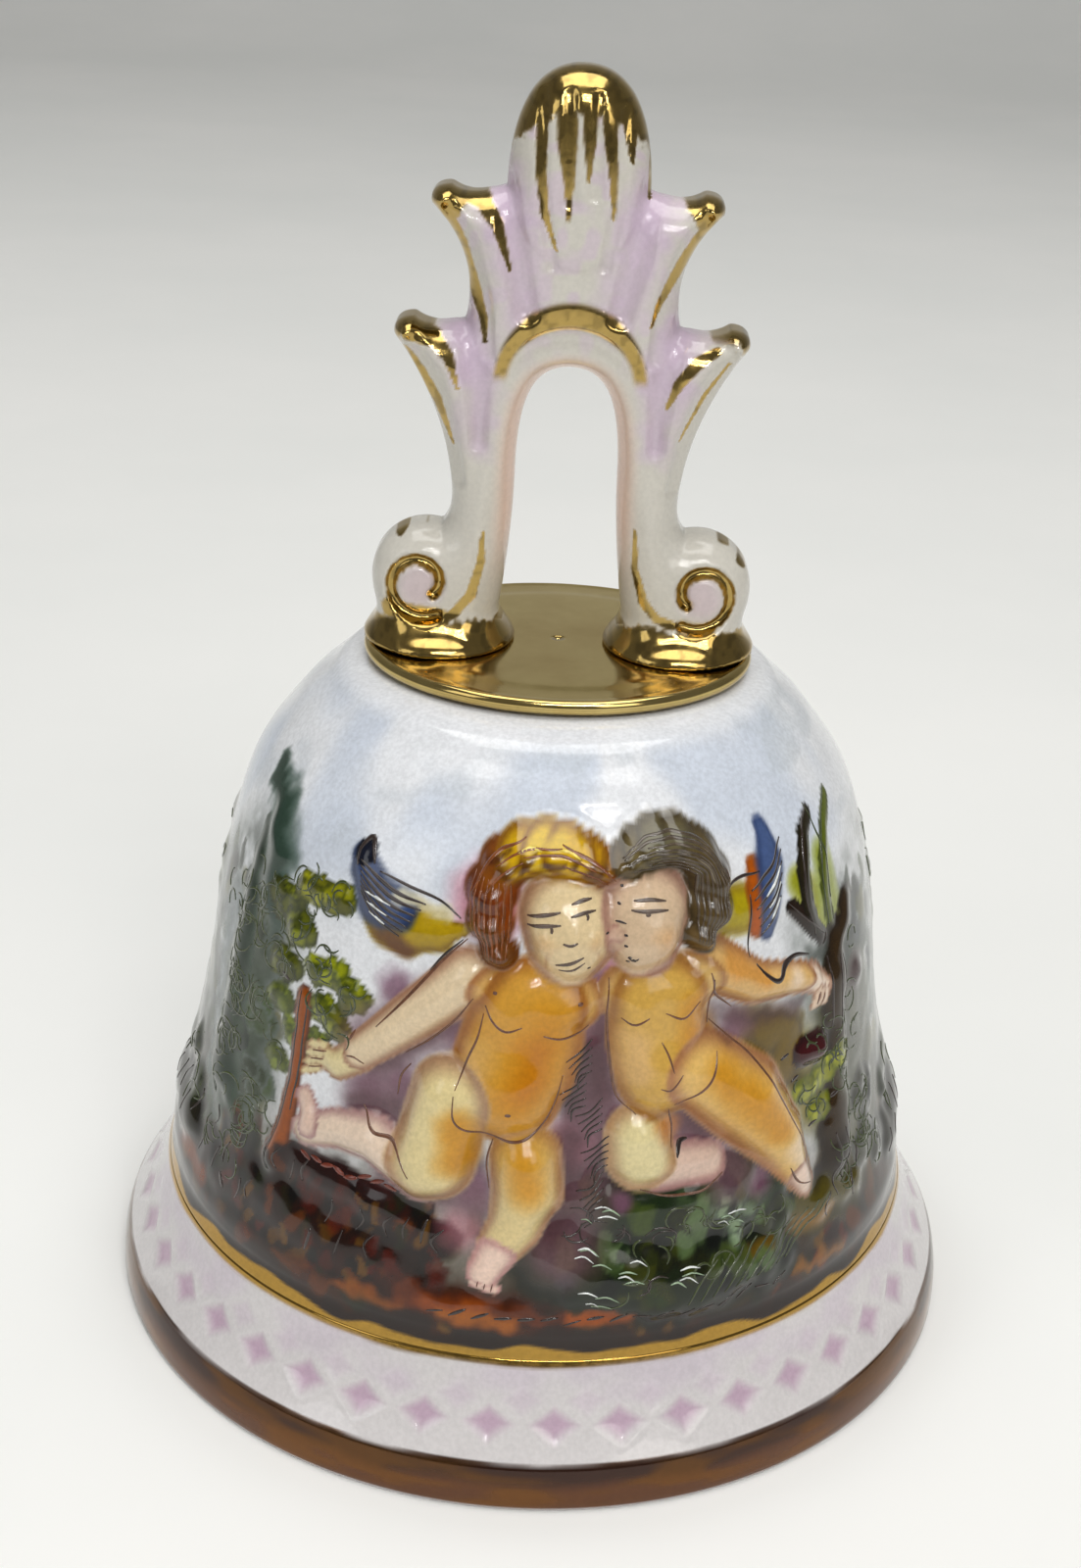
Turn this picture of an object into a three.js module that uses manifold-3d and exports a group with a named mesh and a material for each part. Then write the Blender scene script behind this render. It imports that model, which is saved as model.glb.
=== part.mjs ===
// Porcelain hand bell with a moulded figure relief, a gilded crown plate, an openwork palmette
// handle and a bead clapper on a two-link chain. Millimetres, +Z up. The origin is the centre of
// the foot ring on the table, and the front of the relief faces -Y.
import * as THREE from "three";
import { mergeVertices } from "three/addons/utils/BufferGeometryUtils.js";
import Module from "manifold-3d";

// Clearances
const JOINT_GAP = 0.3; // between pieces that are luted, cemented or threaded together
const LINK_GAP = 0.35; // between two chain links where one hangs on the other
const TURN = 2 * Math.PI;

// Shell: foot, body and crown
const BODY_RADIUS = 33.1; // at the painted line between the foot and the body
const BODY_HEIGHT = 46.6; // from that line to the crown
const FOOT_HEIGHT = 11.5;
const FOOT_FLARE = 4.4; // the rim's reach beyond the body radius
const RIM_LAND = 3.8; // width of the flat ring that stands on the table
const RIM_EDGE = 0.55; // rounding at the bottom edge
const BAND_HEIGHT = 4.2; // height of the gold band round the rim
const WALL = 3.0;
const CROWN_THICKNESS = 3.2;
const CROWN_RADIUS = 17.2; // of the flat top that carries the plate
const SOCKET_RADIUS = 5.0; // hole in the crown for the cemented staple
const SHELL_SEGMENTS = 80;
const BODY_ROWS = 20;

// The body's side curve: share of the body height, and how far the wall stands inside BODY_RADIUS.
const BODY_CURVE = [
  [0, 0],
  [0.18, 2.5],
  [0.36, 4.25],
  [0.53, 5.45],
  [0.68, 6.8],
  [0.805, 8.7],
  [0.905, 12.0],
  [0.965, 14.4],
  [1, BODY_RADIUS - CROWN_RADIUS],
];

// Crown plate
const PLATE_REACH = 16.1; // half the oval plate's width, along X
const PLATE_NARROWING = 0.863; // its front to back size as a share of its width
const PLATE_THICKNESS = 1.2;
const PLATE_EDGE_STEPS = 5;

// Handle: reaches are from the centre line, heights from the plate
const HANDLE_HEIGHT = 45.6;
const HANDLE_DEPTH = 7.2;
const HANDLE_BEVEL_DEPTH = 2.3;
const HANDLE_BEVEL_INSET = 0.6;
const ARCH_HALF_WIDTH = 4.1;
const ARCH_HEIGHT = 22.8;
const ARCH_SPREAD = 1.1; // the legs stand this much further apart at the plate
const VOLUTE_RADIUS = 4.45;
const VOLUTE_REACH = 15.45;
const VOLUTE_HEIGHT = 5.1; // of the volute's centre
const VOLUTE_EYE_RADIUS = 1.15;
const VOLUTE_EYE_DEPTH = 1.0;
const NECK = { reach: 9.1, height: 12.4 };
const LOWER_LEAF = { reach: 13.9, height: 25.6, notchReach: 8.4, notchHeight: 26.1 };
const UPPER_LEAF = { reach: 11.2, height: 35.8, notchReach: 5.5, notchHeight: 36.5 };

// Staple, chain and clapper
const WIRE_RADIUS = 0.6;
const STAPLE_RADIUS = 0.7;
const STAPLE_HALF_WIDTH = 2.1;
const STAPLE_DROP = 6.6; // from the crown's underside to the centre of the staple's lowest wire
const STAPLE_ANCHOR = 2.3; // length of the legs in the cement
const LINK_BEND_RADIUS = 1.8;
const LINK_STRAIGHT = 2.1;
const BEAD_RADIUS = 7.0;
const BEAD_HEIGHT = 19.0; // of the bead's centre above the table
const WASHER = { radius: 2.3, thickness: 0.7 };
const STOP = { radius: 1.7, thickness: 1.5 };
const PEEN_RADIUS = 1.15;
const WIRE_SIDES = 10;

// Derived heights
const RIM_RADIUS = BODY_RADIUS + FOOT_FLARE;
const SHELL_TOP = FOOT_HEIGHT + BODY_HEIGHT;
const CROWN_UNDERSIDE = SHELL_TOP - CROWN_THICKNESS;
const PLATE_BOTTOM = SHELL_TOP + JOINT_GAP;
const PLATE_TOP = PLATE_BOTTOM + PLATE_THICKNESS;
const HANDLE_BOTTOM = PLATE_TOP + JOINT_GAP;
const STAPLE_PIVOT = CROWN_UNDERSIDE - STAPLE_DROP;
const LINK_DROP = 2 * LINK_BEND_RADIUS + LINK_STRAIGHT;
const WIRE_SEAT = 2 * WIRE_RADIUS + LINK_GAP; // centre to centre of two wires that hang together
const LINK_UPPER_TOP = STAPLE_PIVOT + STAPLE_RADIUS + WIRE_RADIUS + LINK_GAP;
const MIDDLE_PIVOT = LINK_UPPER_TOP - LINK_DROP;
const LINK_LOWER_TOP = MIDDLE_PIVOT + WIRE_SEAT;
const CLAPPER_PIVOT = LINK_LOWER_TOP - LINK_DROP;
const EYE_CENTRE = CLAPPER_PIVOT + WIRE_SEAT - LINK_BEND_RADIUS;

// Relief on the body, front and back. Each form runs from one point to another; a point is
// [degrees round the bell from the front towards +X, height, half width, height of the relief].
const RELIEF = {
  leftPutto: [
    [[1.5, 48.3, 5.0, 2.9], [3.0, 46.6, 4.3, 2.9]],
    [[-2.0, 41.2, 4.4, 2.2], [-2.0, 36.5, 4.0, 2.4]],
    [[-3.0, 34.5, 4.4, 2.7], [-3.5, 32.0, 4.0, 2.5]],
    [[-9.0, 41.8, 2.4, 2.0], [-22.0, 37.6, 1.9, 1.7]],
    [[-22.0, 37.6, 1.9, 1.7], [-29.5, 33.4, 1.4, 1.3]],
    [[-8.0, 31.0, 3.4, 2.6], [-15.5, 26.5, 3.3, 2.9]],
    [[-18.0, 25.6, 2.5, 2.2], [-35.5, 27.6, 1.8, 1.5]],
    [[0.0, 29.5, 3.4, 2.7], [1.0, 25.4, 3.0, 2.8]],
    [[-0.5, 23.5, 2.2, 2.0], [-6.0, 18.2, 1.7, 1.5]],
  ],
  rightPutto: [
    [[20.5, 49.2, 5.0, 2.8], [18.0, 47.2, 4.2, 2.8]],
    [[18.0, 41.4, 4.3, 2.2], [17.5, 37.0, 3.9, 2.3]],
    [[17.5, 34.8, 4.1, 2.5], [18.5, 33.0, 4.0, 2.4]],
    [[28.0, 42.6, 2.5, 2.1], [36.0, 39.0, 2.0, 1.8]],
    [[36.0, 39.0, 2.0, 1.8], [49.5, 38.2, 1.5, 1.5]],
    [[25.0, 33.6, 4.1, 2.6], [34.5, 30.4, 3.9, 2.9]],
    [[36.0, 28.6, 3.2, 2.6], [43.5, 22.6, 1.9, 1.6]],
    [[15.5, 30.2, 3.0, 2.1], [15.8, 26.0, 2.7, 2.2]],
    [[17.5, 25.0, 2.1, 1.8], [25.0, 26.4, 1.8, 1.5]],
  ],
  wings: [
    [[-13.5, 44.6, 2.3, 1.1], [-24.0, 46.4, 2.5, 1.0]],
    [[-24.0, 46.4, 2.5, 1.0], [-33.0, 49.4, 1.4, 0.8]],
    [[32.0, 45.4, 2.4, 1.1], [48.0, 49.4, 1.4, 0.9]],
  ],
  leftLandscape: [
    [[-40.5, 38.0, 1.1, 1.0], [-41.5, 22.5, 1.6, 1.2]],
    [[-41.0, 45.0, 3.4, 1.3], [-34.5, 39.5, 3.2, 1.4]],
    [[-48.5, 44.5, 3.2, 1.1], [-47.0, 36.0, 3.0, 1.1]],
    [[-62.5, 49.0, 1.6, 0.8], [-58.0, 28.0, 4.2, 1.3]],
    [[-36.0, 22.5, 3.4, 1.5], [-22.0, 19.0, 3.4, 1.5]],
    [[-58.0, 19.0, 3.6, 1.5], [-46.0, 17.5, 3.0, 1.2]],
  ],
  rightLandscape: [
    [[11.0, 21.5, 3.4, 1.5], [24.0, 19.0, 3.8, 1.8]],
    [[26.0, 18.0, 3.4, 1.5], [38.0, 19.5, 3.0, 1.4]],
    [[56.5, 41.0, 1.4, 1.3], [51.0, 22.0, 2.0, 1.6]],
    [[57.5, 50.0, 0.9, 0.7], [51.5, 42.0, 1.2, 1.1]],
    [[66.0, 49.5, 0.9, 0.7], [57.0, 41.0, 1.2, 1.1]],
    [[48.5, 34.5, 2.0, 1.5], [44.0, 32.5, 2.2, 1.3]],
    [[68.0, 32.0, 3.4, 1.4], [64.0, 20.5, 3.6, 1.6]],
  ],
  back: [
    [[86.0, 20.0, 4.0, 1.5], [102.0, 18.5, 3.6, 1.4]],
    [[96.0, 21.0, 1.5, 1.3], [94.0, 36.0, 1.0, 1.0]],
    [[88.0, 40.0, 3.4, 1.3], [100.0, 43.0, 3.6, 1.4]],
    [[122.0, 19.0, 3.6, 1.5], [140.0, 18.0, 3.2, 1.3]],
    [[128.0, 24.0, 4.2, 1.4], [131.0, 45.0, 1.6, 0.9]],
    [[165.0, 18.5, 3.6, 1.5], [188.0, 19.0, 3.4, 1.4]],
    [[178.0, 20.0, 1.6, 1.3], [174.0, 37.0, 1.1, 1.0]],
    [[168.0, 41.5, 3.8, 1.4], [182.0, 43.0, 3.6, 1.4]],
    [[214.0, 18.5, 3.6, 1.4], [232.0, 19.5, 3.4, 1.4]],
    [[222.0, 23.0, 4.0, 1.4], [219.0, 43.0, 1.7, 0.9]],
    [[252.0, 20.0, 3.6, 1.5], [272.0, 18.5, 3.4, 1.3]],
    [[262.0, 21.0, 1.4, 1.2], [265.0, 35.0, 1.0, 1.0]],
    [[258.0, 40.0, 3.4, 1.3], [270.0, 41.0, 3.2, 1.3]],
  ],
};
const RELIEF_FORMS = Object.values(RELIEF).flat();
const RELIEF_FOOT_FADE = [1.2, 4.5]; // heights above the foot line where the relief rises
const RELIEF_BLEND = 4; // higher is a sharper crease between two forms
const RELIEF_SOFTNESS = 1.25; // how far a form's foot runs out beyond its half width

const glazed = (color) => new THREE.MeshStandardMaterial({ color, roughness: 0.12, metalness: 0 });
const metal = (color) => new THREE.MeshStandardMaterial({ color, roughness: 0.28, metalness: 1 });

const wasm = await Module();
wasm.setup();

function toSolid(geometry) {
  const bare = geometry.clone();
  bare.deleteAttribute("normal");
  bare.deleteAttribute("uv");
  const merged = mergeVertices(bare, 1e-4);
  return new wasm.Manifold(
    new wasm.Mesh({
      numProp: 3,
      vertProperties: merged.attributes.position.array,
      triVerts: new Uint32Array(merged.index.array),
    }),
  );
}

function toGeometry(solid) {
  const mesh = solid.getMesh();
  const geometry = new THREE.BufferGeometry();
  geometry.setAttribute("position", new THREE.BufferAttribute(mesh.vertProperties, 3));
  geometry.setIndex(new THREE.BufferAttribute(mesh.triVerts, 1));
  geometry.computeVertexNormals();
  return geometry;
}

// A ring or solid of revolution about Z; outline points are [radius, height].
function turned(outline, segments) {
  const points = outline.map(([radius, height]) => new THREE.Vector2(radius, height));
  return new THREE.LatheGeometry(points, segments).rotateX(Math.PI / 2);
}

function bodyCurve() {
  const points = BODY_CURVE.map(
    ([share, inset]) => new THREE.Vector2(BODY_RADIUS - inset, FOOT_HEIGHT + share * BODY_HEIGHT),
  );
  return new THREE.SplineCurve(points);
}

// Height of the moulded relief at an angle and a height on the body.
function reliefHeight(angle, height, radius) {
  const above = height - FOOT_HEIGHT;
  const fade = THREE.MathUtils.smoothstep(above, ...RELIEF_FOOT_FADE);
  let sum = 0;
  for (const [from, to] of RELIEF_FORMS) {
    const arcTo = (degrees) => {
      const turn = THREE.MathUtils.degToRad(degrees) - angle;
      return radius * Math.atan2(Math.sin(turn), Math.cos(turn));
    };
    const start = new THREE.Vector2(arcTo(from[0]), from[1] - height);
    const run = new THREE.Vector2(arcTo(to[0]), to[1] - height).sub(start);
    const share = THREE.MathUtils.clamp(-start.dot(run) / run.lengthSq(), 0, 1);
    const away = start.addScaledVector(run, share).length();
    const halfWidth = THREE.MathUtils.lerp(from[2], to[2], share);
    const dome = Math.max(0, 1 - (away / (RELIEF_SOFTNESS * halfWidth)) ** 2);
    sum += (THREE.MathUtils.lerp(from[3], to[3], share) * dome) ** RELIEF_BLEND;
  }
  return fade * sum ** (1 / RELIEF_BLEND);
}

function bellShell() {
  const side = bodyCurve();
  const rimSide = new THREE.Vector2(RIM_RADIUS - 0.7, BAND_HEIGHT);
  const footCurve = new THREE.QuadraticBezierCurve(
    rimSide,
    new THREE.Vector2(BODY_RADIUS + 1.6, BAND_HEIGHT + 2.8),
    new THREE.Vector2(BODY_RADIUS, FOOT_HEIGHT),
  );
  const outer = [
    [RIM_RADIUS - RIM_LAND, 0],
    [RIM_RADIUS - RIM_EDGE, 0],
    [RIM_RADIUS, RIM_EDGE],
    [RIM_RADIUS - 0.2, BAND_HEIGHT / 2],
    ...footCurve.getPoints(5).map((point) => point.toArray()),
    ...side.getPoints(BODY_ROWS).slice(1).map((point) => point.toArray()),
  ];
  const innerSide = [];
  for (let row = 1; row < 10; row += 1) {
    const at = side.getPointAt(row / 11);
    const along = side.getTangentAt(row / 11);
    innerSide.push([at.x - WALL * along.y, at.y + WALL * along.x]);
  }
  const lastRadius = innerSide[innerSide.length - 1][0];
  const inner = [
    [SOCKET_RADIUS, SHELL_TOP],
    [SOCKET_RADIUS, CROWN_UNDERSIDE],
    [lastRadius - 2.6, CROWN_UNDERSIDE],
    ...innerSide.filter(([, height]) => height < CROWN_UNDERSIDE - 0.8).reverse(),
    [RIM_RADIUS - RIM_LAND - 0.6, BAND_HEIGHT],
    [RIM_RADIUS - RIM_LAND, 0],
  ];
  const geometry = turned([...outer, ...inner], SHELL_SEGMENTS);
  const position = geometry.getAttribute("position");
  const rowCount = outer.length + inner.length;
  const firstBodyRow = outer.length - BODY_ROWS;
  for (let index = 0; index < position.count; index += 1) {
    const row = index % rowCount;
    if (row < firstBodyRow || row >= outer.length - 1) continue;
    const radius = Math.hypot(position.getX(index), position.getY(index));
    const angle = Math.atan2(position.getX(index), -position.getY(index));
    const scale = 1 + reliefHeight(angle, position.getZ(index), radius) / radius;
    position.setX(index, position.getX(index) * scale);
    position.setY(index, position.getY(index) * scale);
  }
  return geometry;
}

function crownPlate() {
  const edge = PLATE_THICKNESS / 2;
  const centre = PLATE_REACH - edge;
  const outline = [[0, PLATE_BOTTOM]];
  for (let step = 0; step <= PLATE_EDGE_STEPS; step += 1) {
    const angle = Math.PI * (step / PLATE_EDGE_STEPS - 0.5);
    const point = [centre + edge * Math.cos(angle), PLATE_BOTTOM + edge + edge * Math.sin(angle)];
    outline.push(point);
  }
  outline.push([0, PLATE_TOP]);
  const plate = turned(outline, 64);
  plate.scale(1, PLATE_NARROWING, 1);
  return plate;
}

// One leaf of the handle's side: the hollow underside, the round tip and the dip to the notch.
function addLeaf(path, startReach, startHeight, leaf, hollow) {
  path.quadraticCurveTo(
    startReach - hollow,
    (startHeight + leaf.height) / 2,
    leaf.reach,
    leaf.height - 0.7,
  );
  path.bezierCurveTo(
    leaf.reach + 0.15,
    leaf.height + 0.3,
    leaf.reach - 0.6,
    leaf.height + 0.75,
    leaf.reach - 1.6,
    leaf.height + 0.7,
  );
  path.quadraticCurveTo(
    (leaf.reach + leaf.notchReach) / 2,
    leaf.height - 0.3,
    leaf.notchReach,
    leaf.notchHeight,
  );
}

function handleHalfOutline() {
  const volute = VOLUTE_REACH - VOLUTE_RADIUS;
  const path = new THREE.Path();
  path.moveTo(0, ARCH_HEIGHT);
  path.bezierCurveTo(
    ARCH_HALF_WIDTH * 0.75,
    ARCH_HEIGHT,
    ARCH_HALF_WIDTH,
    ARCH_HEIGHT - 3,
    ARCH_HALF_WIDTH,
    ARCH_HEIGHT - 9,
  );
  path.quadraticCurveTo(ARCH_HALF_WIDTH, ARCH_HEIGHT / 3, ARCH_HALF_WIDTH + ARCH_SPREAD, 0);
  path.lineTo(VOLUTE_REACH - 0.4, 0);
  path.absarc(volute, VOLUTE_HEIGHT, VOLUTE_RADIUS, 0, 0.58 * Math.PI, false);
  path.quadraticCurveTo(NECK.reach - 0.1, NECK.height - 2, NECK.reach, NECK.height);
  addLeaf(path, NECK.reach, NECK.height, LOWER_LEAF, -0.5);
  addLeaf(path, LOWER_LEAF.notchReach, LOWER_LEAF.notchHeight, UPPER_LEAF, 1.2);
  path.bezierCurveTo(
    UPPER_LEAF.notchReach - 0.1,
    HANDLE_HEIGHT - 4.5,
    UPPER_LEAF.notchReach - 1.3,
    HANDLE_HEIGHT,
    0,
    HANDLE_HEIGHT,
  );
  return path.getPoints(7);
}

function handle() {
  const half = handleHalfOutline();
  const mirrored = half.slice(1, -1).map((point) => new THREE.Vector2(-point.x, point.y));
  const shape = new THREE.Shape([...half, ...mirrored.reverse()]);
  const geometry = new THREE.ExtrudeGeometry(shape, {
    depth: HANDLE_DEPTH - 2 * HANDLE_BEVEL_DEPTH,
    bevelEnabled: true,
    bevelThickness: HANDLE_BEVEL_DEPTH,
    bevelSize: HANDLE_BEVEL_INSET,
    bevelOffset: -HANDLE_BEVEL_INSET,
    bevelSegments: 3,
  });
  geometry.translate(0, 0, HANDLE_BEVEL_DEPTH - HANDLE_DEPTH / 2);
  geometry.rotateX(Math.PI / 2);
  const position = geometry.getAttribute("position");
  for (let index = 0; index < position.count; index += 1) {
    const share = position.getZ(index) / HANDLE_HEIGHT;
    const swell = 0.9 + 0.28 * (1 - share) ** 3 + 0.22 * Math.sin(Math.PI * share) * share;
    position.setY(index, position.getY(index) * swell);
  }
  geometry.translate(0, 0, HANDLE_BOTTOM);
  let solid = toSolid(geometry);
  const frontFace = (HANDLE_DEPTH / 2) * 1.1;
  for (const side of [-1, 1]) {
    for (const face of [-1, 1]) {
      const eye = new THREE.CylinderGeometry(VOLUTE_EYE_RADIUS, VOLUTE_EYE_RADIUS, 2, 16);
      const centre = side * (VOLUTE_REACH - VOLUTE_RADIUS);
      const depth = face * (frontFace - VOLUTE_EYE_DEPTH + 1);
      eye.translate(centre, depth, HANDLE_BOTTOM + VOLUTE_HEIGHT);
      solid = solid.subtract(toSolid(eye));
    }
  }
  return toGeometry(solid);
}

// A round wire along a curve.
function wire(curve, radius, steps) {
  const section = new THREE.Shape();
  section.absarc(0, 0, radius, 0, TURN, false);
  return new THREE.ExtrudeGeometry(section, {
    steps,
    bevelEnabled: false,
    curveSegments: WIRE_SIDES / 2,
    extrudePath: curve,
  });
}

function stapleCurve() {
  const bend = STAPLE_HALF_WIDTH;
  const top = CROWN_UNDERSIDE + STAPLE_ANCHOR;
  const curve = new THREE.CurvePath();
  const legEnd = STAPLE_PIVOT + bend;
  curve.add(new THREE.LineCurve3(new THREE.Vector3(-bend, 0, top), new THREE.Vector3(-bend, 0, legEnd)));
  const points = [];
  for (let step = 0; step <= 8; step += 1) {
    const angle = Math.PI * (1 + step / 8);
    points.push(new THREE.Vector3(bend * Math.cos(angle), 0, legEnd + bend * Math.sin(angle)));
  }
  for (let step = 0; step < 8; step += 1) {
    curve.add(new THREE.LineCurve3(points[step], points[step + 1]));
  }
  curve.add(new THREE.LineCurve3(new THREE.Vector3(bend, 0, legEnd), new THREE.Vector3(bend, 0, top)));
  return curve;
}

function staple() {
  return wire(stapleCurve(), STAPLE_RADIUS, 32);
}

function stapleCement() {
  const radius = SOCKET_RADIUS - JOINT_GAP;
  const plug = turned(
    [
      [0, CROWN_UNDERSIDE - 0.9],
      [radius * 0.6, CROWN_UNDERSIDE - 0.6],
      [radius, CROWN_UNDERSIDE],
      [radius, SHELL_TOP],
      [0, SHELL_TOP],
    ],
    32,
  );
  let solid = toSolid(plug);
  const bottom = CROWN_UNDERSIDE - 2;
  const top = CROWN_UNDERSIDE + STAPLE_ANCHOR + JOINT_GAP;
  const boreRadius = STAPLE_RADIUS + JOINT_GAP;
  for (const side of [-1, 1]) {
    const leg = new THREE.CylinderGeometry(boreRadius, boreRadius, top - bottom, 16);
    leg.rotateX(Math.PI / 2);
    leg.translate(side * STAPLE_HALF_WIDTH, 0, (top + bottom) / 2);
    solid = solid.subtract(toSolid(leg));
  }
  return toGeometry(solid);
}

// An oval chain link in the XZ plane, centred on the origin: a stadium swept by the wire section.
function chainLink() {
  const ring = turned(
    Array.from({ length: WIRE_SIDES + 1 }, (_, step) => {
      const angle = (TURN * step) / WIRE_SIDES;
      return [LINK_BEND_RADIUS + WIRE_RADIUS * Math.cos(angle), WIRE_RADIUS * Math.sin(angle)];
    }),
    20,
  );
  ring.rotateX(Math.PI / 2);
  const position = ring.getAttribute("position");
  for (let index = 0; index < position.count; index += 1) {
    const height = position.getZ(index);
    const shift = (Math.sign(Math.round(height * 1e4)) * LINK_STRAIGHT) / 2;
    position.setZ(index, height + shift);
  }
  return ring;
}

function clapperWire() {
  const points = [];
  for (let step = 0; step <= 12; step += 1) {
    const angle = THREE.MathUtils.degToRad(225 - (275 * step) / 12);
    const y = LINK_BEND_RADIUS * Math.cos(angle);
    points.push(new THREE.Vector3(0, y, EYE_CENTRE + LINK_BEND_RADIUS * Math.sin(angle)));
  }
  const shankTop = EYE_CENTRE - LINK_BEND_RADIUS - 1.4;
  const shankBottom = BEAD_HEIGHT - BEAD_RADIUS - STOP.thickness - 2 * JOINT_GAP - 0.6;
  points.push(new THREE.Vector3(0, 0.12, shankTop));
  points.push(new THREE.Vector3(0, 0, shankTop - 1.5));
  const eye = wire(new THREE.CatmullRomCurve3(points), WIRE_RADIUS, 34);
  const shankLength = shankTop - 1.3 - shankBottom;
  const shank = new THREE.CylinderGeometry(WIRE_RADIUS, WIRE_RADIUS, shankLength, WIRE_SIDES);
  shank.rotateX(Math.PI / 2);
  shank.translate(0, 0, shankBottom + shankLength / 2);
  const peen = new THREE.SphereGeometry(PEEN_RADIUS, 12, 8);
  peen.translate(0, 0, shankBottom - PEEN_RADIUS * 0.5);
  return toGeometry(toSolid(eye).add(toSolid(shank)).add(toSolid(peen)));
}

// A bead or washer with a bore for the wire; the outline lists the outside from the bottom up.
function threaded(outside, segments) {
  const bore = WIRE_RADIUS + JOINT_GAP;
  const bottom = outside[0][1];
  const top = outside[outside.length - 1][1];
  return turned([[bore, bottom], ...outside, [bore, top], [bore, bottom]], segments);
}

function clapperBead() {
  const bore = WIRE_RADIUS + JOINT_GAP;
  const start = Math.asin((bore + 0.8) / BEAD_RADIUS);
  const outside = [];
  for (let step = 0; step <= 14; step += 1) {
    const angle = start + ((Math.PI - 2 * start) * step) / 14;
    const height = BEAD_HEIGHT - BEAD_RADIUS * Math.cos(angle);
    outside.push([BEAD_RADIUS * Math.sin(angle), height]);
  }
  return threaded(outside, 32);
}

function washerAbove() {
  const bottom = BEAD_HEIGHT + BEAD_RADIUS + JOINT_GAP;
  const outside = [
    [WASHER.radius, bottom],
    [WASHER.radius, bottom + WASHER.thickness],
  ];
  return threaded(outside, 20);
}

function stopBelow() {
  const top = BEAD_HEIGHT - BEAD_RADIUS - JOINT_GAP;
  const bottom = top - STOP.thickness;
  const outside = [
    [STOP.radius - 0.4, bottom],
    [STOP.radius, bottom + 0.4],
    [STOP.radius, top - 0.4],
    [STOP.radius - 0.4, top],
  ];
  return threaded(outside, 20);
}

const bell = new THREE.Group();

function place(parent, name, geometry, material) {
  const mesh = new THREE.Mesh(geometry, material);
  mesh.name = name;
  parent.add(mesh);
  return mesh;
}

place(bell, "bell_shell", bellShell(), glazed(0xf3f1f4));
place(bell, "crown_plate", crownPlate(), metal(0xb08a3c));
place(bell, "handle", handle(), glazed(0xf4eff5));
place(bell, "staple", staple(), metal(0xb99a55));
place(bell, "staple_cement", stapleCement(), new THREE.MeshStandardMaterial({ color: 0xcfc8ba, roughness: 0.9 }));

const upperLink = place(bell, "chain_link_upper", chainLink(), metal(0xb99a55));
upperLink.rotation.z = Math.PI / 2;
upperLink.position.z = LINK_UPPER_TOP - LINK_DROP / 2;
const lowerLink = place(bell, "chain_link_lower", chainLink(), metal(0xb99a55));
lowerLink.position.z = LINK_LOWER_TOP - LINK_DROP / 2;

const clapper = new THREE.Group();
bell.add(clapper);
place(clapper, "clapper_wire", clapperWire(), metal(0xb99a55));
place(clapper, "clapper_bead", clapperBead(), glazed(0xf6f3ee));
place(clapper, "bead_washer", washerAbove(), metal(0xb99a55));
place(clapper, "bead_stop", stopBelow(), metal(0xb99a55));

export default bell;
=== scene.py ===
"""Looks of a small relief-moulded porcelain hand bell. Works in millimetres in the bell's own
frame (+Z up, the front of the relief towards -Y) and scales to metres when a mesh is made.
A place on the body is given as (degrees round from the front towards +X, height in mm)."""
import math

import bpy
import numpy as np
import openvdb
from mathutils import Matrix, Vector


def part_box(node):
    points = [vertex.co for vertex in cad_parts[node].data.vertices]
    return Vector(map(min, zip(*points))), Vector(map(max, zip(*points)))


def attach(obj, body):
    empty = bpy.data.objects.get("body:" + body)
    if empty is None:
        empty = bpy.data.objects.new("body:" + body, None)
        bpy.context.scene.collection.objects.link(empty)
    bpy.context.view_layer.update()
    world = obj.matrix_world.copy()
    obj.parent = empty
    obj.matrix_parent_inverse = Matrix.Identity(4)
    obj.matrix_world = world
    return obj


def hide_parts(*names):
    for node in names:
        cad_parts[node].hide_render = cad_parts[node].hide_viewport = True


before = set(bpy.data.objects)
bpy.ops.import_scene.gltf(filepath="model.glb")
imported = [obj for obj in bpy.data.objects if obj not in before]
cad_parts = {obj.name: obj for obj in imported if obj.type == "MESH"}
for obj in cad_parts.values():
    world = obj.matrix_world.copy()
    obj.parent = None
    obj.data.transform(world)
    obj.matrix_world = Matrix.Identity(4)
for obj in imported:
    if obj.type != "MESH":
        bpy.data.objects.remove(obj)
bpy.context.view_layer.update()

MM = 0.001
rng = np.random.default_rng(7)


def box_mm(node):
    low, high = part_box(node)
    return np.array(low) / MM, np.array(high) / MM


# Sizes read from the frame, and the height of the handle's foot block
SHELL_HIGH = box_mm("bell_shell")[1]
PLATE_LOW, PLATE_HIGH = box_mm("crown_plate")
HANDLE_LOW, HANDLE_HIGH = box_mm("handle")
RIM_RADIUS = SHELL_HIGH[0]
SHELL_TOP = SHELL_HIGH[2]
PLATE_REACH = PLATE_HIGH[0]
PLATE_DEPTH = PLATE_HIGH[1]
PLATE_TOP = PLATE_HIGH[2]
FOOT_BLOCK = 1.6
HANDLE_BASE = HANDLE_LOW[2] + FOOT_BLOCK
HANDLE_TOP = HANDLE_HIGH[2] - HANDLE_BASE

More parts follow.
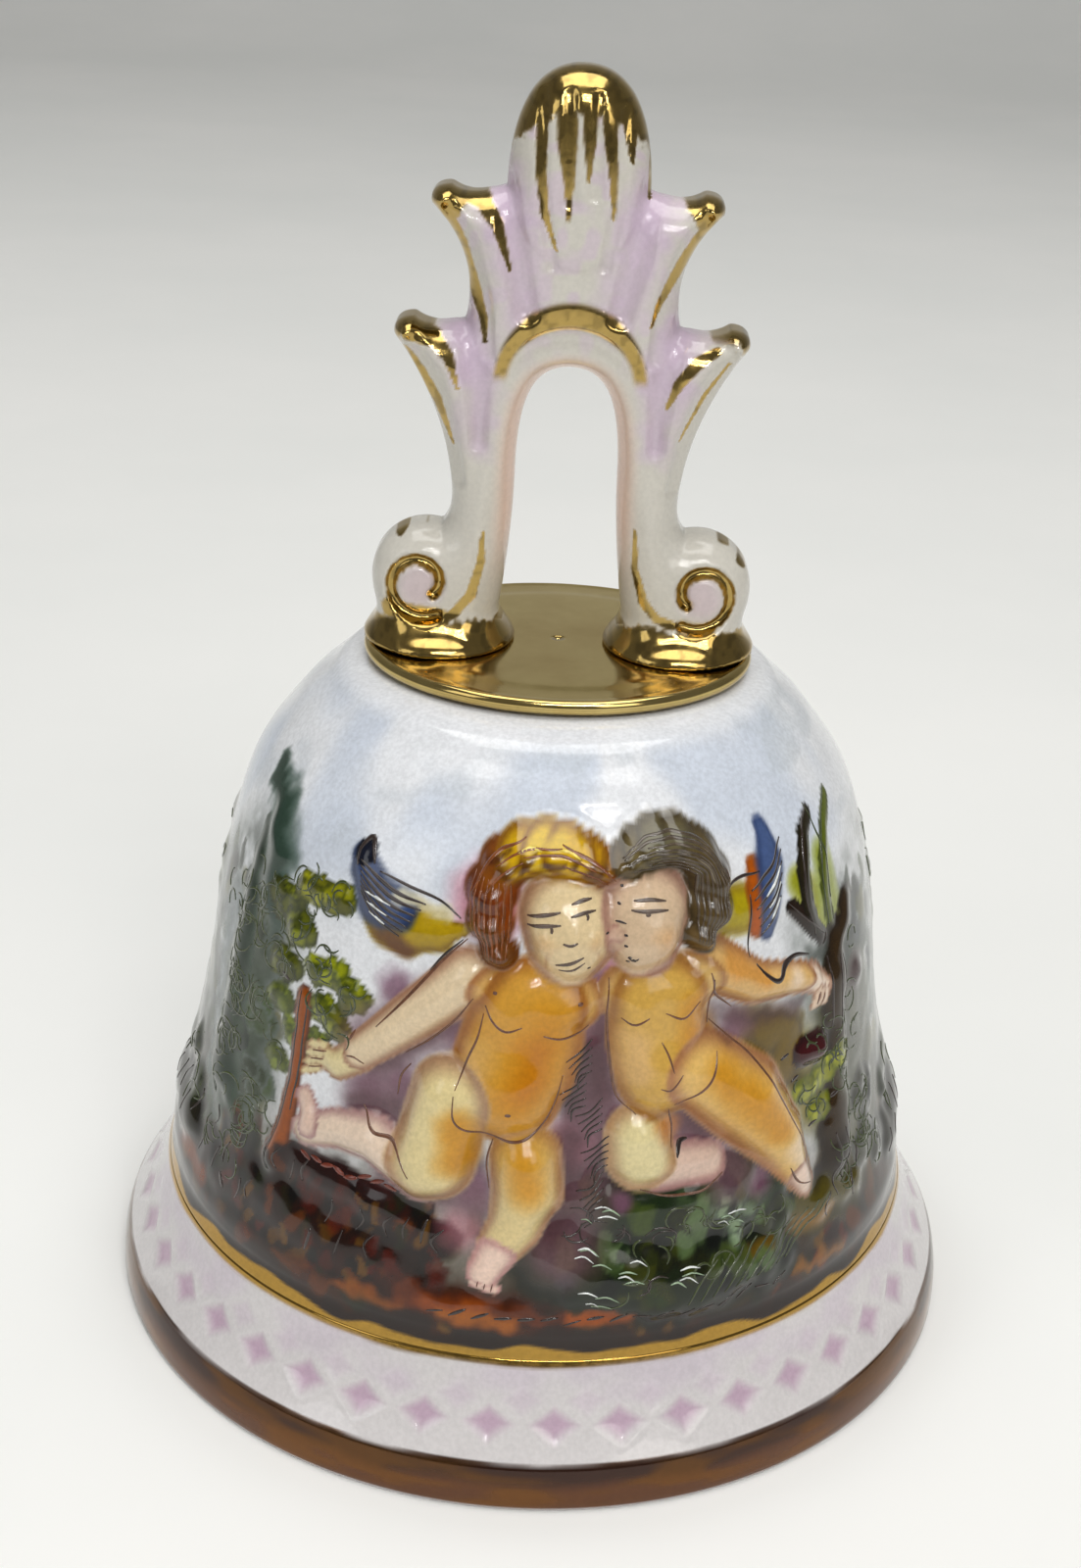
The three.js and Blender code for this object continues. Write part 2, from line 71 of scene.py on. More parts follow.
# Shell sizes
FOOT_FLARE = 4.4
BODY_RADIUS = RIM_RADIUS - FOOT_FLARE
FOOT_HEIGHT = 11.5
BODY_HEIGHT = SHELL_TOP - FOOT_HEIGHT
CROWN_RADIUS = 17.2
SOCKET_RADIUS = 5.0
WALL = 3.0
CROWN_THICKNESS = 3.2
RIM_LAND = 3.8
RIM_EDGE = 0.55
BAND_HEIGHT = 4.2
BODY_CURVE = [
    (0, 0), (0.18, 2.5), (0.36, 4.25), (0.53, 5.45), (0.68, 6.8),
    (0.805, 8.7), (0.905, 12.0), (0.965, 14.4), (1, BODY_RADIUS - CROWN_RADIUS),
]

# ---------------------------------------------------------------- camera and studio
CAMERA_PLACE = (0.0, -0.17503, 0.12718)
CAMERA_PITCH = math.radians(24.84)
CAMERA_ROLL = math.radians(2.57)
CAMERA_YAW = math.radians(-0.30)
CAMERA_LENS = 51.75
CAMERA_SENSOR = 36.0


def add_camera():
    cos_pitch, sin_pitch = math.cos(CAMERA_PITCH), math.sin(CAMERA_PITCH)
    forward = Vector((math.sin(CAMERA_YAW) * cos_pitch, math.cos(CAMERA_YAW) * cos_pitch, -sin_pitch))
    level_right = Vector((math.cos(CAMERA_YAW), -math.sin(CAMERA_YAW), 0.0))
    level_up = level_right.cross(forward)
    right = level_right * math.cos(CAMERA_ROLL) + level_up * math.sin(CAMERA_ROLL)
    up = level_up * math.cos(CAMERA_ROLL) - level_right * math.sin(CAMERA_ROLL)
    data = bpy.data.cameras.new("camera")
    data.sensor_fit = "VERTICAL"
    data.sensor_height = CAMERA_SENSOR
    data.lens = CAMERA_LENS
    data.clip_start = 0.01
    camera = bpy.data.objects.new("camera", data)
    rotation = Matrix((right, up, -forward)).transposed().to_4x4()
    camera.matrix_world = Matrix.Translation(CAMERA_PLACE) @ rotation
    bpy.context.scene.collection.objects.link(camera)
    bpy.context.scene.camera = camera


def add_light(name, place, target, size, power, colour):
    data = bpy.data.lights.new(name, "AREA")
    data.shape = "RECTANGLE"
    data.size, data.size_y = size
    data.energy = power
    data.color = colour
    light = bpy.data.objects.new(name, data)
    light.location = place
    light.rotation_euler = (Vector(target) - Vector(place)).to_track_quat("-Z", "Y").to_euler()
    bpy.context.scene.collection.objects.link(light)


def add_studio():
    """Dim even surroundings, a broad soft light overhead and thin tubes that glint on the shoulder."""
    centre = (0, 0, 0.05)
    add_light("overhead", (0.0, 0.06, 0.85), centre, (0.75, 0.55), 4.1, (1.0, 0.995, 0.97))
    add_light("front_right", (0.42, -0.62, 0.5), centre, (0.3, 0.4), 0.9, (1.0, 0.96, 0.9))
    add_light("front_left", (-0.55, -0.45, 0.42), centre, (0.25, 0.4), 0.5, (0.97, 0.985, 1.0))
    for row in range(4):
        add_light(f"tube_{row}", (0.1, -0.45 - 0.05 * row, 0.70 - 0.04 * row), centre, (0.4, 0.006), 0.6,
            (1.0, 1.0, 1.0))
    world = bpy.data.worlds.new("studio")
    bpy.context.scene.world = world
    world.use_nodes = True
    background = world.node_tree.nodes["Background"]
    background.inputs["Color"].default_value = (1.0, 0.99, 0.97, 1.0)
    background.inputs["Strength"].default_value = 0.16
    bpy.context.scene.view_settings.view_transform = "Standard"


def add_stage():
    depth, bend, width, height = 0.8, 0.35, 2.2, 1.6
    profile = [(-1.0, 0.0), (depth, 0.0)]
    for step in range(1, 13):
        turn = step / 12 * math.pi / 2
        profile.append((depth + bend * math.sin(turn), bend - bend * math.cos(turn)))
    profile.append((depth + bend, height))
    points = [(side * width, y, z) for y, z in profile for side in (-1, 1)]
    faces = [(2 * i, 2 * i + 1, 2 * i + 3, 2 * i + 2) for i in range(len(profile) - 1)]
    mesh = bpy.data.meshes.new("backdrop")
    mesh.from_pydata(points, [], faces)
    for polygon in mesh.polygons:
        polygon.use_smooth = True
    backdrop = bpy.data.objects.new("backdrop", mesh)
    bpy.context.scene.collection.objects.link(backdrop)
    mesh.materials.append(paper_material())


# ---------------------------------------------------------------- materials
def srgb(red, green, blue):
    """Linear colour of an sRGB colour given in 0 to 255."""
    values = np.array([red, green, blue]) / 255
    return np.where(values <= 0.04045, values / 12.92, ((values + 0.055) / 1.055) ** 2.4)


def tinted(paint, share, colour):
    """Paint on vertices with a share of a colour laid over it."""
    share = share[..., None]
    return paint * (1 - share) + srgb(*colour) * share


def rgba(colour):
    return (*[float(c) for c in colour], 1.0)


class Nodes:
    """A material's node tree with short calls for the nodes used here."""

    def __init__(self, name):
        self.material = bpy.data.materials.new(name)
        self.material.use_nodes = True
        self.tree = self.material.node_tree
        self.shader = self.tree.nodes["Principled BSDF"]
        self.place = self.add("ShaderNodeTexCoord").outputs["Object"]

    def add(self, kind, **values):
        node = self.tree.nodes.new(kind)
        for key, value in values.items():
            setattr(node, key, value)
        return node

    def link(self, source, target):
        self.tree.links.new(source, target)

    def drive(self, socket, source):
        self.link(source, self.shader.inputs[socket])

    def set(self, **values):
        for key, value in values.items():
            self.shader.inputs[key.replace("_", " ")].default_value = value

    def noise(self, scale, detail=4.0, rough=0.55):
        node = self.add("ShaderNodeTexNoise")
        node.inputs["Scale"].default_value = scale
        node.inputs["Detail"].default_value = detail
        node.inputs["Roughness"].default_value = rough
        self.link(self.place, node.inputs["Vector"])
        return node.outputs["Fac"]

    def ramp(self, source, low, high, at=(0.35, 0.65)):
        node = self.add("ShaderNodeMapRange")
        node.inputs["From Min"].default_value, node.inputs["From Max"].default_value = at
        node.inputs["To Min"].default_value, node.inputs["To Max"].default_value = low, high
        self.link(source, node.inputs["Value"])
        return node.outputs["Result"]

    def mix(self, share, first, second, blend="MIX"):
        node = self.add("ShaderNodeMix", data_type="RGBA", blend_type=blend)
        for socket, value in ((node.inputs["Factor"], share), (node.inputs[6], first),
                (node.inputs[7], second)):
            if isinstance(value, bpy.types.NodeSocket):
                self.link(value, socket)
            else:
                socket.default_value = value
        return node.outputs[2]

    def attribute(self, name, channel):
        node = self.add("ShaderNodeAttribute", attribute_name=name)
        return node.outputs[channel]

    def bump(self, source, strength, distance):
        node = self.add("ShaderNodeBump")
        node.inputs["Strength"].default_value = strength
        node.inputs["Distance"].default_value = distance
        self.link(source, node.inputs["Height"])
        self.drive("Normal", node.outputs["Normal"])


def paper_material():
    nodes = Nodes("studio_paper")
    tone = nodes.mix(nodes.ramp(nodes.noise(9), 0, 1), rgba(srgb(242, 243, 241)), rgba(srgb(247, 247, 245)))
    nodes.drive("Base Color", tone)
    nodes.set(Roughness=0.75)
    return nodes.material


def painted_porcelain(name, fleck=0.10, glaze_bump=0.12):
    """Glazed porcelain whose colour and gilding come from the mesh's paint and gilt attributes."""
    nodes = Nodes(name)
    paint = nodes.attribute("paint", "Color")
    gilt = nodes.attribute("gilt", "Fac")
    fine = nodes.ramp(nodes.noise(2600, 3), 1 - fleck, 1 + fleck * 0.4)
    broad = nodes.ramp(nodes.noise(420, 4), 1 - fleck * 0.5, 1.0)
    shade = nodes.add("ShaderNodeMath", operation="MULTIPLY")
    nodes.link(fine, shade.inputs[0])
    nodes.link(broad, shade.inputs[1])
    grey = nodes.add("ShaderNodeCombineColor")
    for channel in ("Red", "Green", "Blue"):
        nodes.link(shade.outputs[0], grey.inputs[channel])
    colour = nodes.mix(1.0, paint, grey.outputs[0], "MULTIPLY")
    nodes.drive("Base Color", colour)
    nodes.drive("Metallic", gilt)
    nodes.drive("Roughness", nodes.ramp(nodes.noise(700), 0.07, 0.2))
    nodes.set(Coat_Weight=0.3, Coat_Roughness=0.04, Specular_IOR_Level=0.36)
    nodes.bump(nodes.noise(900, 2), glaze_bump, 0.0001)
    return nodes.material


def gold_material(name):
    nodes = Nodes(name)
    # Darker patches of gilding: partly worn gold, partly painted dark reflection.
    wear_and_dark_reflection = nodes.ramp(nodes.noise(180, 5, 0.6), 0, 1, (0.35, 0.7))
    specks = nodes.ramp(nodes.noise(2400, 3), 0, 0.5, (0.7, 0.8))
    colour = nodes.mix(wear_and_dark_reflection, rgba(srgb(206, 184, 120)), rgba(srgb(188, 162, 98)))
    colour = nodes.mix(specks, colour, rgba(srgb(70, 50, 26)))
    nodes.drive("Base Color", colour)
    nodes.drive("Roughness", nodes.ramp(nodes.noise(900, 4), 0.1, 0.16))
    nodes.set(Metallic=1.0)
    nodes.bump(nodes.noise(120, 2), 0.05, 0.0002)
    return nodes.material


def enamel_material(name, colour, variation=0.25):
    """Brushed enamel: one colour that runs thin and thick along the stroke."""
    nodes = Nodes(name)
    dark = srgb(*colour) * (1 - variation)
    light = srgb(*colour) * (1 + variation)
    tone = nodes.mix(nodes.ramp(nodes.noise(1500, 3), 0, 1), rgba(dark), rgba(np.minimum(light, 1)))
    nodes.drive("Base Color", tone)
    nodes.drive("Roughness", nodes.ramp(nodes.noise(800), 0.12, 0.28))
    nodes.set(Coat_Weight=0.5, Coat_Roughness=0.05)
    return nodes.material


def brass_material(name):
    nodes = Nodes(name)
    tarnish = nodes.ramp(nodes.noise(900, 5, 0.6), 0, 1, (0.4, 0.65))
    colour = nodes.mix(tarnish, rgba(srgb(196, 160, 92)), rgba(srgb(112, 84, 46)))
    nodes.drive("Base Color", colour)
    nodes.drive("Roughness", nodes.ramp(nodes.noise(1600), 0.25, 0.5))
    nodes.set(Metallic=1.0)
    nodes.bump(nodes.noise(2500, 3), 0.25, 0.00005)
    return nodes.material


def cement_material():
    nodes = Nodes("cement")
    tone = nodes.mix(nodes.ramp(nodes.noise(1300, 6), 0, 1), rgba(srgb(196, 188, 172)),
        rgba(srgb(150, 141, 126)))
    nodes.drive("Base Color", tone)
    nodes.set(Roughness=0.92)
    nodes.bump(nodes.noise(1800, 6), 0.6, 0.0003)
    return nodes.material


# ---------------------------------------------------------------- numbers on grids
def smoothstep(low, high, value):
    share = np.clip((value - low) / (high - low), 0, 1)
    return share * share * (3 - 2 * share)


def smooth_max(first, second, blend):
    share = np.clip(0.5 + 0.5 * (first - second) / blend, 0, 1)
    return second + (first - second) * share + blend * share * (1 - share)


def path_reach(path):
    """How far each place lies from a path, as a share of the path's half width, and how far along it.
    path holds (across, up, half width), measured from the places themselves."""
    if len(path) == 1:
        across, up, half = path[0]
        path = [path[0], (across + 0.01, up, half)]
    best, run = None, None
    for index, ((ax, az, first), (bx, bz, last)) in enumerate(zip(path, path[1:])):
        dx, dz = bx - ax, bz - az
        share = np.clip(-(ax * dx + az * dz) / (dx * dx + dz * dz + 1e-9), 0, 1)
        near = np.hypot(ax + share * dx, az + share * dz) / (first + (last - first) * share)
        along = (index + share) / (len(path) - 1)
        if best is None:
            best, run = near, along
        else:
            run = np.where(near < best, along, run)
            best = np.minimum(best, near)
    return best, run


NOISE_CELLS = 64
NOISE_TABLE = rng.random((8, NOISE_CELLS, NOISE_CELLS))


def value_noise(u, v, layer, period=NOISE_CELLS):
    """Smooth noise from 0 to 1 that repeats every period units across."""
    u0, v0 = np.floor(u).astype(int), np.floor(v).astype(int)
    fu, fv = u - u0, v - v0
    fu, fv = fu * fu * (3 - 2 * fu), fv * fv * (3 - 2 * fv)
    left, right = u0 % period % NOISE_CELLS, (u0 + 1) % period % NOISE_CELLS
    low, high = v0 % NOISE_CELLS, (v0 + 1) % NOISE_CELLS
    table = NOISE_TABLE[layer]
    below = table[left, low] * (1 - fu) + table[right, low] * fu
    above = table[left, high] * (1 - fu) + table[right, high] * fu
    return below * (1 - fv) + above * fv


def body_noise(degrees, height, cells, layer):
    """Noise on the body, with that many cells round it; cells are about square."""
    u = np.mod(degrees, 360) / 360 * cells
    v = height * cells / 180
    return 0.65 * value_noise(u, v, layer, cells) + 0.35 * value_noise(u * 2, v * 2, (layer + 1) % 8,
        cells * 2)


# ---------------------------------------------------------------- shell profile
def catmull_rom(points, per_span):
    points = np.array(points, float)
    padded = np.vstack([2 * points[0] - points[1], points, 2 * points[-1] - points[-2]])
    out = []
    for i in range(1, len(padded) - 2):
        p0, p1, p2, p3 = padded[i - 1:i + 3]
        for t in np.arange(per_span) / per_span:
            out.append(0.5 * (2 * p1 + (p2 - p0) * t + (2 * p0 - 5 * p1 + 4 * p2 - p3) * t ** 2
                + (3 * p1 - p0 - 3 * p2 + p3) * t ** 3))
    out.append(padded[-2])
    return np.array(out)


def bezier2(p0, p1, p2, count):
    t = np.linspace(0, 1, count)[:, None]
    return (1 - t) ** 2 * np.array(p0) + 2 * t * (1 - t) * np.array(p1) + t ** 2 * np.array(p2)


SIDE = catmull_rom([(BODY_RADIUS - inset, FOOT_HEIGHT + share * BODY_HEIGHT)
    for share, inset in BODY_CURVE], 24)
FOOT_SIDE = bezier2((RIM_RADIUS - 0.7, BAND_HEIGHT), (BODY_RADIUS + 1.6, BAND_HEIGHT + 2.8),
    (BODY_RADIUS, FOOT_HEIGHT), 30)


# The shoulder rolls over gently into the flat crown
ROLL_START = SHELL_TOP - 1.3
STRAIGHT_SIDE = SIDE[SIDE[:, 1] < ROLL_START]
ROLL_OVER = bezier2(STRAIGHT_SIDE[-1], (CROWN_RADIUS + 0.6, SHELL_TOP - 0.1),
    (CROWN_RADIUS - 2.2, SHELL_TOP), 14)
SIDE = np.vstack([STRAIGHT_SIDE, ROLL_OVER[1:]])


def around(radius, degrees, height):
    """Places at a radius and height, that many degrees round from the front."""
    turn = np.radians(degrees)
    return np.stack([radius * np.sin(turn), -radius * np.cos(turn), height], -1)


def body_radius(height):
    return np.interp(height, SIDE[:, 1], SIDE[:, 0])


# ---------------------------------------------------------------- relief and paint on the body
BODY_COLUMNS_FRONT = 312
BODY_COLUMNS_BACK = 168
FRONT_SPAN = 78.0
BODY_ROWS = 168
LINE_ROWS = 14
LINE_TOP = FOOT_HEIGHT + 2.0
DOME_ROWS = 12
DOME_START = 54.0


def body_columns():
    front = np.linspace(-FRONT_SPAN, FRONT_SPAN, BODY_COLUMNS_FRONT, endpoint=False)
    back = np.linspace(FRONT_SPAN, 360 - FRONT_SPAN, BODY_COLUMNS_BACK, endpoint=False)
    return np.concatenate([front, back])


def body_heights():
    line = np.linspace(FOOT_HEIGHT - 0.3, LINE_TOP, LINE_ROWS, endpoint=False)
    scene = np.linspace(LINE_TOP, DOME_START, BODY_ROWS - LINE_ROWS - DOME_ROWS, endpoint=False)
    dome = np.linspace(DOME_START, SHELL_TOP, DOME_ROWS)
    return np.concatenate([line, scene, dome])


class Surface:
    """The body's outside as a grid of columns (degrees) and rows (heights), with relief and paint."""

    def __init__(self, columns, heights):
        self.columns, self.heights = columns, heights
        self.degrees, self.height = np.meshgrid(columns, heights)
        self.radius = body_radius(self.height)
        self.relief = np.zeros_like(self.height)
        self.paint = np.empty(self.height.shape + (3,))
        self.paint[:] = srgb(234, 235, 237)
        self.gilt = np.zeros_like(self.height)
        self.warp_u = (body_noise(self.degrees, self.height, 128, 0) - 0.5)
        self.warp_v = (body_noise(self.degrees, self.height, 128, 2) - 0.5)

    def reach(self, path, warp=0.0):
        """path_reach for a path of (degrees, height, half width)."""
        shift_u, shift_v = warp * self.warp_u, warp * self.warp_v
        middle = path[len(path) // 2][0]
        spread = np.radians(np.mod(self.degrees - middle + 180, 360) - 180)
        places = []
        for degrees, height, half in path:
            gap = np.radians(degrees - middle) - spread
            places.append((gap * self.radius + shift_u, height - self.height + shift_v, half))
        return path_reach(places)

    def raise_form(self, path, heights, blend=0.35, warp=0.0, flat=1.0):
        """Adds a rounded form; heights are along the path. flat over 1 gives a flatter top."""
        near, run = self.reach(path, warp)
        rise = np.interp(run, np.linspace(0, 1, len(heights)), heights)
        dome = np.clip(1 - near ** (2 * flat), 0, 1) ** 0.7
        self.relief = smooth_max(rise * dome, self.relief, blend)
        return near, run

    def add_height(self, path, amount):
        near, _ = self.reach(path)
        self.relief = self.relief + amount * np.clip(1 - near ** 2, 0, 1) ** 2

    def tint(self, mask, colour, strength=1.0):
        self.paint = tinted(self.paint, mask * strength, colour)

    def wash(self, path, colour, strength=1.0, soft=0.6, warp=0.8):
        """Airbrushed patch that fades over its outer soft share."""
        near, _ = self.reach(path, warp)
        self.tint(1 - smoothstep(1 - soft, 1.0, near), colour, strength)

    def form(self, path, heights, core, edge, blend=0.35, warp=0.0, soft=0.07, turn=0.45, flat=1.0):
        """A raised form with a core colour and an edge colour where it turns away; a darker edge colour is
        painted shade.
        """
        near, _ = self.raise_form(path, heights, blend, warp, flat)
        inside = 1 - smoothstep(1 - soft, 1 + soft, near)
        self.tint(inside, core)
        self.tint(inside * smoothstep(turn, 1.0, near), edge, 0.85)


SKIN = (232, 223, 194)
# Edge colour of the skin forms: painted shade where the limbs and bodies turn away.
SKIN_SHADE_EDGE = (178, 142, 122)
ORANGE = (224, 182, 84)
DEEP_ORANGE = (212, 156, 52)
# Shadow colours laid round and between the figures: painted shade.
SHADOW_PINK = (216, 166, 178)
SHADOW_LILAC = (164, 134, 152)
SHADOW_MAUVE = (122, 94, 100)


def paint_sky(s):
    """Pale blue washes on the dome, grey-green distance at the sides and dark ground at the foot."""
    cloud = body_noise(s.degrees, s.height, 22, 3)
    high = smoothstep(40, 50, s.height) * (1 - smoothstep(56.5, 58, s.height))
    s.tint(high * smoothstep(0.4, 0.7, cloud), (208, 215, 226), 0.5)
    drift = body_noise(s.degrees, s.height * 2.2, 30, 5)
    s.tint(high * smoothstep(0.6, 0.8, drift), (212, 216, 220), 0.45)
    mottle = body_noise(s.degrees, s.height, 90, 6)
    round_side = smoothstep(40, 56, np.abs(s.degrees - 180 * np.floor(s.degrees / 180 + 0.5)))
    away = np.where(s.degrees > 78, 1.0, round_side)
    trees = away * (1 - smoothstep(36, 48, s.height + 12 * (cloud - 0.5)))
    s.tint(trees * smoothstep(0.1, 0.5, mottle), (126, 134, 128), 0.85)
    s.tint(trees * smoothstep(0.4, 0.65, mottle), (72, 82, 72), 0.8)
    low = 1 - smoothstep(18, 31, s.height + 5 * (cloud - 0.5))
    s.tint(low, (118, 108, 88), 0.8)
    s.tint(low * smoothstep(0.45, 0.7, mottle), (88, 80, 52), 0.7)
    ground = 1 - smoothstep(13.5, 20, s.height + 4 * (drift - 0.5))
    s.tint(ground, (66, 44, 26), 0.92)
    s.tint(ground * smoothstep(0.5, 0.72, mottle), (126, 86, 36), 0.7)


def foliage(s, centres, radius, rise, core, edge, lobes=6, seed=1):
    """Clusters of round leaves: each centre gets a ring of small raised lobes."""
    draw = np.random.default_rng(seed)
    for degrees, height in centres:
        for lobe in range(lobes):
            angle = 2 * math.pi * lobe / lobes + draw.uniform(-0.3, 0.3)
            spread = radius * draw.uniform(0.35, 0.75)
            place = (degrees + spread * math.cos(angle) / 0.47, height + spread * math.sin(angle) * 0.8,
                     radius * draw.uniform(0.5, 0.72))
            shade = draw.uniform(0.8, 1.15)
            tone = tuple(np.clip(np.array(core) * shade, 0, 255))
            s.form([place], [rise * draw.uniform(0.55, 0.85)], tone, edge, blend=0.3, warp=0.6, turn=0.5)


def left_landscape(s):
    s.wash([(-66, 38, 5), (-60, 26, 6)], (176, 182, 184), 0.8)
    s.form([(-68, 51.2, 0.7), (-59, 49.4, 1.6), (-55, 46.6, 2.2), (-54.5, 42, 2.6)], [0.5, 1.0, 1.2, 1.0],
           (96, 114, 104), (126, 142, 134), warp=1.4, soft=0.5)
    s.form([(-56, 37, 3.6), (-55, 30, 4.2), (-57, 24, 3.8)], [0.9, 1.2, 0.9], (112, 122, 108),
        (146, 152, 150), blend=0.8, warp=2.2, soft=0.3)
    foliage(s, [(-57, 40), (-60, 34), (-52, 33), (-57, 28), (-51, 27)], 2.0, 1.1,
            (104, 118, 84), (142, 148, 146), seed=3)
    foliage(s, [(-48.6, 43.4), (-44.8, 41.6), (-47.4, 38.4)], 1.7, 1.4, (150, 154, 58), (84, 92, 44), seed=4)
    foliage(s, [(-44.6, 45.2), (-40.4, 45.2), (-36.8, 45.3)], 1.35, 1.5, (172, 172, 62), (104, 110, 46),
        seed=5)
    foliage(s, [(-39.6, 39.2), (-35.4, 39.4), (-31.4, 38.4), (-37.0, 36.4), (-33.6, 35.4)], 1.4, 1.5,
            (166, 170, 70), (98, 110, 52), seed=6)
    foliage(s, [(-46.4, 35.4), (-43.2, 33.2), (-37.6, 33.4), (-45.6, 30.4)], 1.3, 1.3, (150, 158, 86),
        (108, 118, 72), seed=7)
    s.form([(-41.2, 36.8, 0.75), (-41.0, 31, 0.8), (-41.8, 26, 1.0), (-43.2, 22.0, 1.5)],
        [1.0, 1.2, 1.3, 1.4], (186, 130, 62), (112, 70, 36), warp=0.6)
    s.form([(-40, 22.8, 1.4), (-28, 22.6, 1.8), (-20, 21.4, 2.1), (-13, 20.6, 1.5)], [0.9, 1.1, 1.1, 0.8],
           (84, 54, 46), (58, 40, 40), warp=1.4, soft=0.3)
    s.form([(-60, 17.4, 2.6), (-46, 18.6, 2.8), (-34, 18.2, 2.8), (-20, 17.6, 2.4)], [0.8, 1.0, 1.0, 0.8],
           (84, 54, 34), (58, 40, 30), warp=1.8, soft=0.4)
    dabs(s, (-58, -12, 15.4, 22.6), GROUND, 110, 209, size=(0.35, 0.9), rise=0.6)
    s.wash([(-38, 24.2, 0.6), (-22, 23.6, 0.6)], (92, 42, 30), 0.85, soft=0.5)
    s.form([(-18, 15.6, 1.4), (-8, 15.6, 1.5), (3, 15.0, 1.2)], [0.6, 0.8, 0.5], (142, 92, 40), (84, 50, 26),
           warp=1.8, soft=0.5)
    s.wash([(-15, 15.6, 1.0), (-6, 15.4, 0.9)], (190, 128, 48), 0.7, soft=0.9, warp=1.6)
    s.wash([(4, 15.0, 0.7), (14, 14.8, 0.7)], (120, 76, 36), 0.8, soft=0.8, warp=1.6)
    for start, end, tone in ((-46, -34, (150, 104, 48)), (-28, -18, (186, 134, 58)),
            (-12, -2, (206, 152, 66)), (6, 14, (190, 136, 58)), (22, 32, (160, 130, 60)),
            (42, 52, (186, 146, 66))):
        s.wash([(start, 14.9, 1.0), (end, 14.5, 1.2)], tone, 0.8, soft=1.0, warp=1.8)


def right_landscape(s):
    s.wash([(66, 34, 5), (66, 22, 6)], (150, 150, 142), 0.85)
    s.wash([(36, 37.0, 3.4), (44, 33.0, 4.2), (50, 28.0, 4.0)], (168, 156, 78), 0.85, soft=0.8)
    s.wash([(40, 35.0, 1.8), (47, 30.0, 1.6)], (108, 100, 48), 0.6, soft=0.9)
    s.wash([(54, 36, 3.4), (54, 26, 3.4)], (112, 110, 70), 0.8, soft=0.8)
    s.form([(38, 36.2, 1.6), (44, 35.2, 1.7), (42.5, 32.0, 1.8)], [0.7, 0.8, 0.7], (158, 140, 66),
        (126, 112, 70), blend=0.6, warp=1.0, soft=0.3)
    s.form([(49.6, 46.6, 1.2), (54.5, 43.8, 1.9)], [0.5, 0.7], (190, 192, 92), (206, 208, 160), blend=0.6,
        soft=0.4)
    s.form([(58, 47.4, 1.3), (58, 43.5, 1.6)], [0.5, 0.6], (186, 192, 116), (204, 210, 176), blend=0.6,
        soft=0.4)
    s.form([(46.8, 45.0, 0.7), (50.4, 43.2, 0.85), (54.2, 41.4, 0.8)], [0.9, 1.2, 1.1], (84, 62, 34),
        (58, 44, 28))
    s.form([(58.4, 50.8, 0.45), (54.0, 49.7, 0.7), (51.4, 47.4, 0.85), (50.9, 44.6, 0.8), (52.4, 42.4, 0.6)],
           [0.8, 1.1, 1.2, 1.1, 1.0], (86, 78, 44), (58, 52, 32))
    s.form([(68, 51.0, 0.4), (61.5, 49.4, 0.6), (57.8, 47.2, 0.7), (56.6, 44.4, 0.7), (57.2, 42.0, 0.7)],
           [0.7, 1.0, 1.1, 1.0, 1.0], (142, 150, 78), (96, 104, 58))
    s.form([(65, 42.6, 1.0), (58.5, 40.4, 1.5), (56.5, 37.2, 1.9), (57, 33, 1.7), (56, 28, 2.0),
        (54.5, 22.6, 2.5)], [1.0, 1.4, 1.6, 1.3, 1.3, 1.7], (104, 88, 62), (72, 60, 48), warp=1.4, soft=0.2)
    s.wash([(58, 30, 2.6), (60, 26, 2.4)], (138, 140, 128), 0.8, soft=0.7)
    s.wash([(55, 22.6, 2.6)], (78, 60, 38), 0.85, soft=0.6)
    foliage(s, [(47.0, 29.4), (52.4, 30.0), (50.4, 27.2), (57.6, 30.6)], 1.35, 1.3, (190, 192, 96),
        (128, 136, 84), seed=8)
    s.form([(46.8, 32.8, 1.3), (50.6, 32.6, 1.45)], [1.6, 1.8], (116, 60, 66), (76, 40, 46))
    s.form([(38, 20.8, 1.9), (47, 19.4, 1.9), (58, 18.6, 2.0)], [1.0, 1.2, 1.2], (132, 124, 60),
        (90, 84, 50), warp=1.6, soft=0.3)
    s.wash([(42, 18.4, 1.2), (50, 18.2, 1.2)], (182, 150, 62), 0.8, soft=0.7)
    s.form([(66, 36, 1.7)], [1.1], (126, 112, 112), (150, 146, 144), warp=0.8, soft=0.3)
    foliage(s, [(64, 21), (69, 19.5), (66, 25)], 2.1, 1.4, (118, 118, 112), (148, 148, 146), seed=9)


